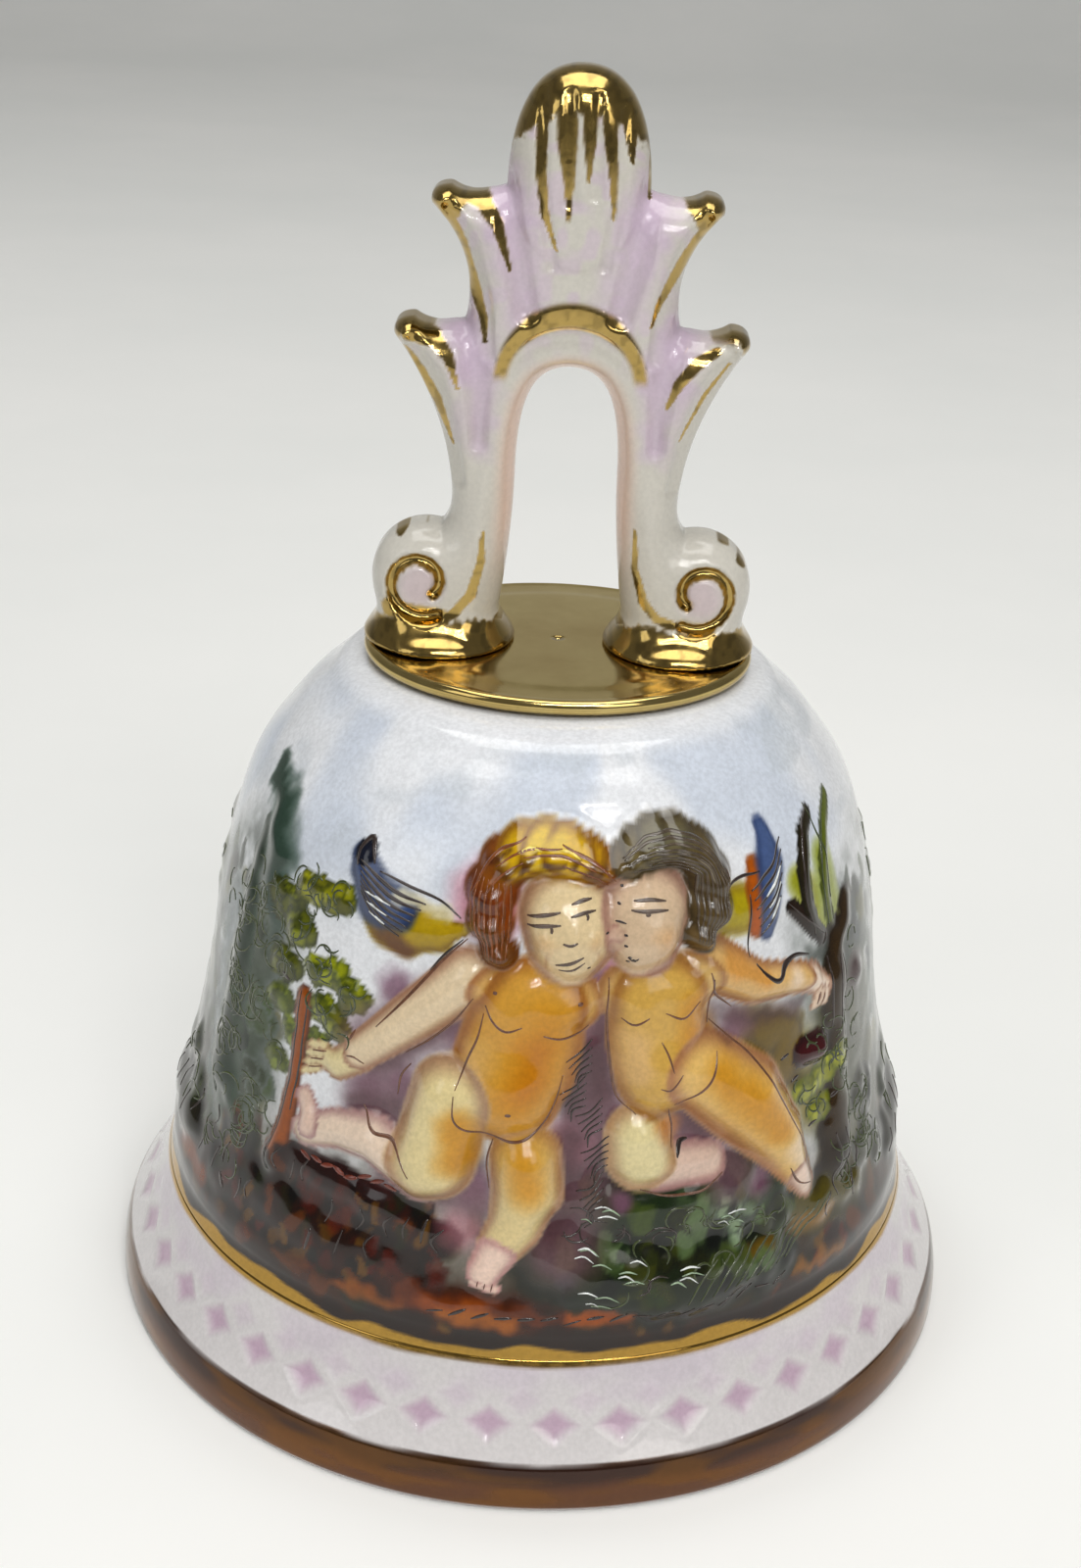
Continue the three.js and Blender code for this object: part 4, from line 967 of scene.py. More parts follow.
def bell_foot():
    columns = np.arange(FOOT_COLUMNS) * 360 / FOOT_COLUMNS
    rim = np.array([(RIM_RADIUS - RIM_LAND, 0), (RIM_RADIUS - RIM_EDGE, 0), (RIM_RADIUS - 0.16, 0.16),
        (RIM_RADIUS, RIM_EDGE)])
    band = [(RIM_RADIUS - 0.02 - 0.05 * (height - 0.9) ** 2.1, height)
        for height in np.arange(0.9, 4.0, 0.25)]
    along, at = np.linspace(0, 1, FLARE_ROWS), np.linspace(0, 1, len(FOOT_SIDE))
    flare = np.stack([np.interp(along, at, FOOT_SIDE[:, 0]), np.interp(along, at, FOOT_SIDE[:, 1])], -1)
    inside = np.array([(BODY_RADIUS - 3.1, FOOT_HEIGHT), (RIM_RADIUS - RIM_LAND - 1.6, 8.0),
        (RIM_RADIUS - RIM_LAND - 0.6, BAND_HEIGHT), (RIM_RADIUS - RIM_LAND - 0.12, 1.2)])
    profile = np.vstack([rim, band, flare, inside])
    degrees, height = np.meshgrid(columns, profile[:, 1])
    radius = profile[:, 0][:, None] + 0 * degrees
    row = np.arange(len(profile))[:, None]
    outside = (row >= len(rim) - 1) & (row < len(profile) - INSIDE_ROWS)
    across = np.abs(np.mod(degrees / (360 / LATTICE_CELLS), 1) - 0.5) * 2
    up = (height - LATTICE_HEIGHT) / LATTICE_HALF
    diamond = across + np.abs(up)
    dimple = 1 - smoothstep(0.28, 0.98, diamond)
    half = (1 - smoothstep(0.25, 0.85, (1 - across) + np.abs(np.abs(up) - 1.0))) * (up < 2.0) * (up > 0)
    ridge = np.exp(-((diamond - 1.02) / 0.13) ** 2) * (np.abs(up) < 1.25)
    radius = radius + np.where(outside, -0.26 * dimple - 0.08 * half + 0.05 * ridge, 0)
    points = around(radius, degrees, height)
    mesh = ring_mesh("bell_foot", points)

    paint = np.empty(points.shape)
    paint[:] = srgb(216, 212, 212)
    wash = body_noise(degrees, height, 44, 2)

    def tint(mask, colour, strength=1.0):
        paint[:] = tinted(paint, mask * outside * strength, colour)

    tint(smoothstep(0.35, 0.7, wash) * smoothstep(7.5, 9.5, height), (206, 194, 206), 0.6)
    tint(dimple, (190, 160, 182), 0.85)
    tint(half * 0.8, (206, 190, 204), 0.6)
    edge = 0.16 * (body_noise(degrees, height * 0, 60, 5) - 0.5)
    band_top = 1 - smoothstep(BAND_HEIGHT - 0.1, BAND_HEIGHT + 0.1, height + edge)
    band_mask = smoothstep(0.3, 0.5, height + edge * 0.5) * band_top
    tint(band_mask, (98, 58, 28))
    tint(band_mask * smoothstep(BAND_HEIGHT - 2.4, BAND_HEIGHT - 1.0, height + 3 * edge), (48, 24, 14), 0.92)
    lustre = band_mask * smoothstep(0.4, 0.7, body_noise(degrees, height * 4, 36, 0))
    tint(lustre, (140, 96, 44), 0.35)
    tint(1 - smoothstep(0.2, 0.45, height), (206, 190, 168), 0.9)
    gold_top = np.where(outside, smoothstep(FOOT_HEIGHT - 0.7, FOOT_HEIGHT - 0.35, height + edge), 0)
    tint(gold_top, FOOT_LINE_GOLD)
    gilt = np.maximum(gold_top, (0.4 + 0.4 * lustre) * band_mask * outside)
    set_attributes(mesh, paint, gilt)
    return link_object("bell_foot", mesh, painted_porcelain("foot_porcelain", fleck=0.06), "bell_shell")


# ---------------------------------------------------------------- handle
HANDLE_DEPTH = 7.2
ARCH_HALF_WIDTH = 4.1
ARCH_TOP = 21.2
ARCH_SPREAD = 1.1
VOLUTE_RADIUS = 4.45
VOLUTE_REACH = 15.45
VOLUTE_HEIGHT = 3.5
VOLUTE_EYE = (11.3, 3.6)
SCROLL_START = math.radians(-118)
NECK = (9.1, 10.8)
LOWER_LEAF = ((13.9, 24.0), (8.4, 24.5))
UPPER_LEAF = ((11.2, 34.2), (5.5, 34.9))
HANDLE_CELL = 0.2
HANDLE_ROUND = 3.3
HANDLE_SINK = 0.28
MOUND_PLACE = 9.9
MOUND = (6.3, 6.4, 2.3)


def bezier(points, count=14):
    t = np.linspace(0, 1, count, endpoint=False)[:, None]
    layer = [np.array(p, float) for p in points]
    while len(layer) > 1:
        layer = [a * (1 - t) + b * t for a, b in zip(layer, layer[1:])]
    return layer[0]


def leaf_outline(start, leaf, hollow):
    """The hollow underside of a leaf, its round tip and the dip to its notch."""
    (reach, height), notch = leaf
    under = bezier([start, (start[0] - hollow, (start[1] + height) / 2), (reach, height - 0.7)])
    tip = bezier([(reach, height - 0.7), (reach + 0.15, height + 0.3), (reach - 0.6, height + 0.75),
        (reach - 1.6, height + 0.7)])
    dip = bezier([(reach - 1.6, height + 0.7), ((reach + notch[0]) / 2, height - 0.3), notch])
    return [under, tip, dip]


def arch_outline():
    top = bezier([(0, ARCH_TOP), (ARCH_HALF_WIDTH * 0.75, ARCH_TOP), (ARCH_HALF_WIDTH, ARCH_TOP - 3),
        (ARCH_HALF_WIDTH, ARCH_TOP - 9)])
    leg = bezier([(ARCH_HALF_WIDTH, ARCH_TOP - 9), (ARCH_HALF_WIDTH, ARCH_TOP / 3),
        (ARCH_HALF_WIDTH + ARCH_SPREAD, 0)])
    return [top, leg]


def handle_outline():
    volute = VOLUTE_REACH - VOLUTE_RADIUS
    turn = np.linspace(-0.05 * math.pi, 0.58 * math.pi, 20)
    scroll = np.stack([volute + VOLUTE_RADIUS * np.cos(turn), VOLUTE_HEIGHT + VOLUTE_RADIUS * np.sin(turn)],
        -1)
    base = np.array([(ARCH_HALF_WIDTH + ARCH_SPREAD, 0.0), (ARCH_HALF_WIDTH + ARCH_SPREAD, -FOOT_BLOCK - 1),
        (VOLUTE_REACH - 1.2, -FOOT_BLOCK - 1), (VOLUTE_REACH - 0.6, 0.4), (VOLUTE_REACH - 0.1, 2.4)])
    neck = bezier([scroll[-1], (NECK[0] - 0.1, NECK[1] - 2), NECK])
    bud = bezier([UPPER_LEAF[1], (UPPER_LEAF[1][0] - 0.1, HANDLE_TOP - 4.5),
        (UPPER_LEAF[1][0] - 1.3, HANDLE_TOP), (0, HANDLE_TOP)], 24)
    half = np.vstack(arch_outline() + [base, scroll[:-1], neck] + leaf_outline(NECK, LOWER_LEAF, -0.5)
        + leaf_outline(LOWER_LEAF[1], UPPER_LEAF, 1.2) + [bud, [(0, HANDLE_TOP)]])
    return np.vstack([half, half[1:-1][::-1] * (-1, 1)])


def signed_distance(x, z, outline):
    """Distance to a closed outline, negative inside it."""
    away = np.full(x.shape, 1e9)
    inside = np.zeros(x.shape, bool)
    for (ax, az), (bx, bz) in zip(outline, np.roll(outline, -1, axis=0)):
        dx, dz = bx - ax, bz - az
        share = np.clip(((x - ax) * dx + (z - az) * dz) / (dx * dx + dz * dz + 1e-12), 0, 1)
        away = np.minimum(away, np.hypot(x - ax - share * dx, z - az - share * dz))
        if az != bz:
            crosses = ((az > z) != (bz > z)) & (x < (bx - ax) * (z - az) / (bz - az) + ax)
            inside ^= crosses
    return np.where(inside, -away, away)


def flat_reach(x, z, path):
    """Share of the half width that a place lies from a path of (x, height, half width)."""
    return path_reach([(px - x, pz - z, half) for px, pz, half in path])[0]


def both_sides(path):
    return [path, [(-x, z, half) for x, z, half in path]]


# Paths on the handle: x, height above the plate, half width
BUD_PETALS = [[(-2.9, 42.0, 0.5), (-2.7, 35.0, 0.7), (-1.7, 29.5, 0.5)],
    [(-0.9, 42.0, 0.6), (-0.7, 34.5, 0.8)], [(1.2, 42.0, 0.5), (1.3, 35.0, 0.7)],
    [(3.2, 41.0, 0.5), (3.0, 34.0, 0.7), (2.2, 29.5, 0.5)]]
LEAF_VALLEYS = [[(5.6, 35.6, 1.0), (4.7, 30.5, 1.4), (3.6, 26.0, 1.2)],
    [(8.3, 25.0, 1.0), (7.2, 20.5, 1.3), (7.0, 15.5, 0.9)]]
LEAF_FLUTES = [[(9.7, 33.4, 0.8), (8.3, 30.6, 1.0), (7.0, 26.5, 1.0), (6.4, 22.5, 0.7)],
    [(12.3, 23.2, 0.8), (10.6, 20.2, 1.0), (9.4, 16.6, 0.9), (8.4, 12.0, 0.6)]]
SCROLL_TURNS = 0.93


def scroll_path(half_width):
    """The groove that winds into the volute's eye, from its foot."""
    points = []
    for share in np.linspace(0, 1, 26):
        turn = SCROLL_START + share * SCROLL_TURNS * 2 * math.pi
        radius = 2.9 - 1.55 * share
        points.append((VOLUTE_EYE[0] + radius * math.cos(turn), VOLUTE_EYE[1] + radius * math.sin(turn),
            half_width))
    return points


def handle_half_depth(x, z):
    share = np.clip(z / HANDLE_TOP, 0, 1)
    half = 0.5 * HANDLE_DEPTH * (0.9 + 0.28 * (1 - share) ** 3 + 0.22 * np.sin(math.pi * share) * share)
    side = np.abs(x)
    bud = np.clip(1 - (x / 5.4) ** 2 - ((z - 37.6) / 8.5) ** 2, 0, 1)
    half = half + 0.55 * np.sqrt(bud)
    for tip in ((9.9, 34.0, 1.9), (12.4, 23.9, 1.9)):
        half = half + 0.5 * np.clip(1 - ((side - tip[0]) ** 2 + (z - tip[1]) ** 2) / tip[2] ** 2, 0, 1)
    for petal in BUD_PETALS:
        half = half - 0.3 * np.clip(1 - flat_reach(x, z, petal) ** 2, 0, 1)
    for paths, depth in ((LEAF_VALLEYS, 0.75), (LEAF_FLUTES, 0.6), ([scroll_path(0.62)], 0.85)):
        for path in paths:
            near = np.minimum(*[flat_reach(x, z, one) for one in both_sides(path)])
            half = half - depth * np.clip(1 - near ** 2, 0, 1) ** 1.3
    rim = signed_distance(x, z, ARCH_LINE)
    crown = smoothstep(9, 15, z) * (z < 27)
    half = half + 0.4 * np.exp(-((rim - 1.0) / 0.75) ** 2) * crown - 0.35 * np.exp(-((rim - 2.9)
        / 0.7) ** 2) * crown
    return half + 0.15 * crescent_mask(x, z)


ARCH_FOOT = [(ARCH_HALF_WIDTH + ARCH_SPREAD, 0.0), (ARCH_HALF_WIDTH + ARCH_SPREAD, -2.0)]
ARCH_HALF = np.vstack(arch_outline() + [ARCH_FOOT])
ARCH_LINE = np.vstack([ARCH_HALF, ARCH_HALF[1:][::-1] * (-1, 1)])


def crescent_mask(x, z):
    """The gilded crescent over the arch, thick at its crown and drawn out to points."""
    inner = 1 - smoothstep(-0.25, 0.25, 4.6 - np.hypot(x * 0.93, (z - 20.3)))
    outer = smoothstep(-0.25, 0.25, 6.6 - np.hypot(x * 1.1, (z - 20.2)))
    return inner * outer * smoothstep(20.2, 21.2, z)


def handle_field():
    x = np.arange(-16.9, 16.9, HANDLE_CELL)
    z = np.arange(-FOOT_BLOCK - 0.9, HANDLE_TOP + 0.5, HANDLE_CELL)
    y = np.arange(-8.2, 8.2, HANDLE_CELL)
    grid_x, grid_z = np.meshgrid(x, z, indexing="ij")
    edge = signed_distance(grid_x, grid_z, handle_outline())
    half = handle_half_depth(grid_x, grid_z)
    corner = np.minimum(HANDLE_ROUND, half * 0.96)
    across = (edge + corner)[:, None, :]
    deep = np.abs(y)[None, :, None] - (half - corner)[:, None, :]
    field = np.hypot(np.maximum(across, 0), np.maximum(deep, 0)) + np.minimum(np.maximum(across, deep), 0)
    field = field - corner[:, None, :]
    side, level = np.abs(x)[:, None, None] - MOUND_PLACE, z[None, None, :] + FOOT_BLOCK + HANDLE_SINK
    mound = np.sqrt((side / MOUND[0]) ** 2 + (y[None, :, None] / MOUND[1]) ** 2
        + (level / MOUND[2]) ** 2) - 1
    field = -smooth_max(-field, -mound * MOUND[2], 1.6)
    oval = np.hypot(x[:, None] / (PLATE_REACH + 0.05), y[None, :] / (PLATE_DEPTH + 0.05)) - 1
    field = np.maximum(field, oval[:, :, None] * PLATE_DEPTH)
    return x, y, z, np.maximum(field, -(z + FOOT_BLOCK + HANDLE_SINK)[None, None, :])


def handle_mesh():
    x, y, z, field = handle_field()
    grid = openvdb.FloatGrid(float(HANDLE_ROUND))
    grid.copyFromArray(field.astype(np.float32))
    points, quads = grid.convertToQuads(0.0)
    points = points.astype(float) * HANDLE_CELL + (x[0], y[0], z[0])
    placed = points + (0, 0, HANDLE_BASE)
    return smooth_mesh("handle_porcelain", placed, quads[:, ::-1].tolist()), points


# Gold strokes on the handle: x, height above the plate, half width
HANDLE_STROKES = [
    [(-3.0, 42.6, 0.5), (-2.9, 36.5, 0.42), (-2.5, 33.5, 0.3), (-1.5, 30.8, 0.12)],
    [(-1.2, 42, 0.8), (-1.0, 38.6, 0.75), (-0.75, 35.6, 0.4), (-0.7, 33.0, 0.1)],
    [(0.6, 42, 0.62), (0.65, 39.0, 0.5), (0.7, 36.0, 0.1)],
    [(1.9, 42, 0.6), (2.2, 39.0, 0.5), (2.5, 36.6, 0.35), (2.7, 33.2, 0.1)],
    [(3.3, 41.5, 0.6), (3.7, 39.2, 0.45), (3.9, 37.4, 0.12)],
    [(-4.4, 41, 0.4), (-4.6, 38.8, 0.12)],
    [(-9.6, 35.2, 0.8), (-7.2, 34.0, 0.7), (-6.0, 32.4, 0.45), (-5.0, 29.0, 0.1)],
    [(-10.4, 33.6, 0.65), (-9.0, 30.6, 0.75), (-7.9, 28.0, 0.55), (-6.9, 25.2, 0.35), (-6.7, 23.4, 0.12)],
    [(10.3, 33.4, 0.35), (9.0, 31.4, 0.5), (7.6, 29.0, 0.45), (6.5, 26.8, 0.25), (6.0, 25.2, 0.1)],
    [(-12.6, 23.8, 0.7), (-10.6, 23.4, 0.6), (-9.5, 22.2, 0.45), (-8.7, 19.8, 0.12)],
    [(-13.0, 22.2, 0.5), (-11.8, 20.6, 0.6), (-10.4, 18.6, 0.45), (-9.0, 15.0, 0.12)],
    [(11.3, 23.4, 0.3), (9.6, 22.4, 0.5), (8.4, 20.8, 0.4), (7.6, 18.8, 0.1)],
    [(12.3, 22.4, 0.12), (10.5, 19.8, 0.2), (8.8, 16.2, 0.1)],
    [(-6.4, 8.2, 0.15), (-6.5, 5.6, 0.35), (-7.2, 3.0, 0.45), (-8.5, 1.4, 0.4), (-10.2, 0.4, 0.4)],
    [(5.7, 8.8, 0.15), (5.9, 5.6, 0.3), (6.7, 3.0, 0.4), (7.8, 1.7, 0.4), (9.2, 1.2, 0.4)],
    [(-13.6, 1.4, 0.9), (-9.6, 0.9, 0.8)],
    [(-11.0, 8.3, 0.35), (-9.7, 8.8, 0.35)],
    [(-13.2, 7.4, 0.4), (-12.7, 7.8, 0.3)],
    [(10.1, 8.4, 0.3), (10.8, 8.4, 0.3)],
    [(12.8, 7.9, 0.4), (13.4, 7.5, 0.3)],
    [(14.4, 6.3, 0.35), (14.8, 5.8, 0.25)],
    [(-5.2, 42, 0.3), (-5.3, 38, 0.15)],
    [(5.0, 42, 0.4), (5.45, 38, 0.3), (5.3, 34.6, 0.12)],
]
HANDLE_CAPS = [(-9.9, 34.6, 1.75), (9.9, 34.7, 1.35), (-12.3, 24.3, 1.55), (12.0, 24.5, 1.35)]


def paint_handle(mesh, points):
    x, y, z = points.T
    noise = value_noise(x * 0.9 + 20, z * 0.9 + 20 + y * 0.4, 3)
    fine = value_noise(x * 3.1 + 20, z * 3.1 + 20, 6) - 0.5
    paint = np.empty((len(x), 3))
    # The handle's white is darker and greyer than the body's white: painted shade over the whole handle.
    paint[:] = srgb(208, 204, 194)

    def tint(mask, colour, strength=1.0):
        paint[:] = tinted(paint, np.clip(mask, 0, 1) * strength, colour)

    # Lilac in the leaf valleys and under the leaf tips: painted shade in the hollows.
    for path in LEAF_VALLEYS + [[(6.4, 35.2, 1.2), (5.2, 33, 1.6)], [(8.9, 24.6, 1.1), (7.8, 22, 1.5)]]:
        for one in both_sides([(px, pz, half * 2.1) for px, pz, half in path]):
            tint(1 - smoothstep(0.0, 1.15, flat_reach(x, z, one) + 0.6 * (noise - 0.5)), (206, 186, 206),
                0.75)
    tint(smoothstep(0.5, 0.8, noise) * smoothstep(20, 26, z), (208, 186, 208), 0.5)
    rim = signed_distance(x, z, ARCH_LINE)
    tint((1 - smoothstep(0.2, 2.0, rim)) * smoothstep(2, 10, z), (236, 204, 186), 0.85)
    # Lilac in the volute's eye: painted shade in the hollow.
    for one in both_sides([(*VOLUTE_EYE, 2.6), (11.5, 3.4, 2.4)]):
        tint(1 - smoothstep(0.3, 1.0, flat_reach(x, z, one)), (206, 180, 196), 0.5)

    gold = np.zeros_like(x)
    bud_line = 40.9 + 0.7 * fine - 0.1 * x ** 2
    gold = np.maximum(gold, smoothstep(-0.3, 0.3, z - bud_line))
    for stroke in HANDLE_STROKES:
        gold = np.maximum(gold, 1 - smoothstep(0.8, 1.15, flat_reach(x, z, stroke) + 0.16 * fine))
    for cx, cz, radius in HANDLE_CAPS:
        near = np.hypot(x - cx, (z - cz) * 1.15) / radius + 0.15 * fine
        gold = np.maximum(gold, (1 - smoothstep(0.85, 1.05, near)) * smoothstep(-0.5, 0.3, z - cz + 0.4))
    gold = np.maximum(gold, crescent_mask(x, z))
    for one in both_sides(scroll_path(0.5)):
        gold = np.maximum(gold, (1 - smoothstep(0.7, 1.1, flat_reach(x, z, one) + 0.4 * fine))
            * (np.abs(y) > 1.5))
    gold = np.maximum(gold, 1 - smoothstep(0.5, 0.9, z + 0.6 * fine + 0.15 * np.cos(x * 1.3)))
    thin = smoothstep(0.55, 0.85, value_noise(x * 2.3 + 9, z * 2.3 + 9, 1))
    paint[:] = paint * (1 - gold[:, None]) + (srgb(178, 150, 84) * (1 - 0.3 * thin[:, None])) * gold[:, None]
    set_attributes(mesh, paint, gold)


def handle_piece():
    mesh, points = handle_mesh()
    paint_handle(mesh, points)
    return link_object("handle_porcelain", mesh, painted_porcelain("handle_glaze", fleck=0.05,
        glaze_bump=0.08), "handle")


# ---------------------------------------------------------------- crown plate
PLATE_COLUMNS = 200


def plate_piece():
    """Gilded oval plate, slightly domed, whose rolled edge settles onto the shoulder."""
    roll = (PLATE_TOP - PLATE_LOW[2]) / 2
    profile = [(0.3, PLATE_LOW[2]), (9.0, PLATE_LOW[2])]
    for step in range(17):
        turn = -math.pi / 2 + math.pi * step / 16
        profile.append((PLATE_REACH - roll + roll * math.cos(turn),
            PLATE_LOW[2] + roll + roll * math.sin(turn)))
    for reach in np.linspace(PLATE_REACH - roll - 0.3, 0.3, 34):
        dip = 0.05 * smoothstep(PLATE_REACH - 4.5, PLATE_REACH - 2.0, reach)
        profile.append((reach, PLATE_TOP - dip))
    profile = np.array(profile)
    degrees = np.arange(PLATE_COLUMNS) * 360 / PLATE_COLUMNS
    grid = revolve(profile, degrees)
    grid[:, :, 1] *= PLATE_DEPTH / PLATE_REACH
    spread = degrees[None, :] + 0 * profile[:, :1]
    wave = body_noise(spread, profile[:, 1:] * 3, 26, 2) - 0.5
    grid[:, :, 2] -= 0.07 * (wave + 0.5) * (profile[:, :1] > PLATE_REACH * 0.8)
    mesh = ring_mesh("gilded_plate", grid)
    return link_object("gilded_plate", mesh, gold_material("plate_gold"), "crown_plate")


# ---------------------------------------------------------------- inside
def bead_glaze():
    nodes = Nodes("bead_glaze")
    tone = nodes.mix(nodes.ramp(nodes.noise(320, 5), 0, 1), rgba(srgb(236, 233, 226)),
        rgba(srgb(214, 208, 198)))
    specks = nodes.ramp(nodes.noise(2100, 2), 0, 0.7, (0.7, 0.76))
    tone = nodes.mix(specks, tone, rgba(srgb(128, 112, 92)))
    nodes.drive("Base Color", tone)
    nodes.drive("Roughness", nodes.ramp(nodes.noise(700), 0.08, 0.22))
    nodes.set(Coat_Weight=0.6, Coat_Roughness=0.05)
    nodes.bump(nodes.noise(600, 2), 0.15, 0.0001)
    return nodes.material


def finish_carried_nodes():
    wire = brass_material("wire_brass")
    finishes = {"staple": wire, "chain_link_upper": wire, "chain_link_lower": wire, "clapper_wire": wire,
        "bead_washer": wire, "bead_stop": wire, "staple_cement": cement_material(),
        "clapper_bead": bead_glaze()}
    for node, material in finishes.items():
        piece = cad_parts[node]
        if not piece.material_slots:
            piece.data.materials.append(material)
        for slot in piece.material_slots:
            slot.material = material


# ---------------------------------------------------------------- brush strokes
class Brush:
    """Collects brush strokes of one enamel as thin closed ribbons that lie on the body."""

    def __init__(self, surface, name, colour, lift=0.05):
        self.surface, self.name, self.colour, self.lift = surface, name, colour, lift
        self.points, self.faces = [], []

    def relief(self, degrees, height):
        columns, heights = self.surface.columns, self.surface.heights
        spread = np.mod(degrees + FRONT_SPAN, 360) - FRONT_SPAN
        ci = np.clip(np.interp(spread, columns, np.arange(len(columns))), 0, len(columns) - 1.001)
        ri = np.clip(np.interp(height, heights, np.arange(len(heights))), 0, len(heights) - 1.001)
        c0, r0 = ci.astype(int), ri.astype(int)
        fc, fr = ci - c0, ri - r0
        grid = self.surface.relief
        top = grid[r0, c0] * (1 - fc) + grid[r0, c0 + 1] * fc
        low = grid[r0 + 1, c0] * (1 - fc) + grid[r0 + 1, c0 + 1] * fc
        return top * (1 - fr) + low * fr

    def place(self, degrees, height, lift):
        return around(body_radius(height) + self.relief(degrees, height) + lift, degrees, height)

    def stroke(self, path, width=0.14, ends=0.25, middle=1.0):
        """Draws along (degrees, height) places, widest in the middle and tapered to the ends."""
        path = np.array(path, float)
        scale = body_radius(path[:, 1].mean()) * math.pi / 180
        flat = path * (scale, 1)
        line = catmull_rom(flat, 12) if len(flat) > 2 else np.linspace(flat[0], flat[1], 12)
        run = np.concatenate([[0], np.cumsum(np.hypot(*np.diff(line, axis=0).T))])
        count = max(6, int(run[-1] / 0.22))
        where = np.linspace(0, run[-1], count)
        line = np.stack([np.interp(where, run, line[:, 0]), np.interp(where, run, line[:, 1])], -1)
        tangent = np.gradient(line, axis=0)
        tangent /= np.linalg.norm(tangent, axis=1)[:, None] + 1e-9
        normal = np.stack([-tangent[:, 1], tangent[:, 0]], -1)
        share = np.linspace(0, 1, count)
        half = width * (ends + (middle - ends) * np.sin(math.pi * np.clip(share, 0.02, 0.98)) ** 0.7)
        base = len(self.points)
        for offset, lift in ((-1.0, -0.03), (-0.45, self.lift), (0.45, self.lift), (1.0, -0.03),
                (0.0, -0.12)):
            spot = line + normal * (half * offset)[:, None]
            self.points.extend(self.place(spot[:, 0] / scale, spot[:, 1], lift))
        for i in range(count - 1):
            for k in range(5):
                a, b = base + k * count + i, base + (k + 1) % 5 * count + i
                self.faces.append((a, b, b + 1, a + 1))
        self.faces.append(tuple(base + k * count for k in reversed(range(5))))
        self.faces.append(tuple(base + k * count + count - 1 for k in range(5)))

    def dot(self, degrees, height, radius):
        self.stroke([(degrees - radius / 0.5, height), (degrees + radius / 0.5, height)], radius, ends=0.5)

    def curls(self, centres, radius, seed, width=0.1):
        """Loose curled outlines round clumps of leaves."""
        draw = np.random.default_rng(seed)
        for degrees, height in centres:
            for _ in range(draw.integers(2, 5)):
                start = draw.uniform(0, 2 * math.pi)
                sweep = draw.uniform(1.6, 3.6)
                reach = radius * draw.uniform(0.5, 1.0)
                shift = draw.uniform(-0.8, 0.8, 2) * radius
                turn = start + np.linspace(0, sweep, 5)
                path = np.stack([degrees + (shift[0] + reach * np.cos(turn)) / 0.5,
                    height + (shift[1] + reach * np.sin(turn)) * 0.9], -1)
                self.stroke(path, width)

    def finish(self):
        mesh = smooth_mesh(self.name, np.array(self.points), self.faces)
        return link_object(self.name, mesh, enamel_material(self.name, self.colour))


# ---------------------------------------------------------------- painted line work
def left_putto_lines(soft, contour):
    soft.stroke([(-2.9, 47.6), (-0.2, 48.05), (2.4, 48.45)], 0.19)
    soft.stroke([(4.1, 48.95), (5.8, 49.15), (7.4, 49.2)], 0.17)
    soft.stroke([(-2.8, 46.95), (-0.2, 47.3), (2.5, 47.6)], 0.2)
    soft.stroke([(1.0, 47.4), (1.15, 47.15), (1.1, 46.95)], 0.14, ends=0.7)
    soft.stroke([(4.0, 48.2), (6.0, 48.4), (8.0, 48.45)], 0.18)
    soft.stroke([(6.5, 48.3), (6.7, 48.1), (6.6, 47.9)], 0.13, ends=0.7)
    soft.stroke([(2.9, 46.35), (3.9, 46.3), (5.1, 46.5)], 0.15, ends=0.5)
    soft.stroke([(1.9, 44.55), (4.0, 44.85), (6.1, 45.3)], 0.19)
    soft.stroke([(2.4, 44.15), (4.4, 44.3), (6.3, 44.85)], 0.13)
    contour.stroke([(-8.4, 40.7), (-7.2, 39.7), (-5.0, 39.1), (-2.6, 39.5)], 0.13)
    contour.stroke([(0.6, 38.9), (3.4, 38.5), (6.2, 38.6), (7.6, 39.1)], 0.13)
    contour.dot(6.0, 41.3, 0.2)
    contour.dot(-7.0, 41.8, 0.16)
    contour.stroke([(-8.6, 40.0), (-9.3, 38.0), (-10.6, 36.2), (-11.8, 34.0)], 0.11)
    contour.stroke([(-11.9, 33.6), (-11.5, 31.6), (-8.8, 30.4), (-4.0, 29.9), (0.2, 30.7), (2.6, 32.8),
        (3.8, 35.4)], 0.13)
    contour.dot(-3.9, 32.7, 0.2)
    contour.stroke([(-12.5, 45.0), (-15.4, 43.6), (-18.2, 41.9), (-22, 39.4), (-26.0, 36.9)], 0.15)
    contour.stroke([(-10.4, 41.0), (-13.2, 38.8), (-17, 36.8), (-21, 35.2)], 0.11)
    contour.stroke([(-21.8, 31.6), (-21.5, 33.2), (-20.0, 34.4)], 0.12)
    contour.stroke([(-30.8, 33.7), (-29.0, 33.9), (-27.6, 33.5)], 0.12)
    contour.stroke([(-27.4, 29.9), (-24.6, 28.6), (-21.0, 28.2), (-17.6, 26.2)], 0.15)
    contour.stroke([(-31.0, 34.8), (-30.2, 35.8)], 0.14)
    contour.stroke([(-6.4, 25.4), (-7.0, 27.6), (-6.2, 29.6)], 0.1)
    for finger in range(3):
        contour.stroke([(-35.0 - 0.4 * finger, 33.2 - 0.75 * finger),
            (-37.8 - 0.3 * finger, 32.8 - 0.8 * finger)], 0.08)
    for toe in range(3):
        contour.stroke([(-7.1 + toe, 17.5 - 0.15 * toe), (-6.9 + toe, 18.2 - 0.15 * toe)], 0.07)


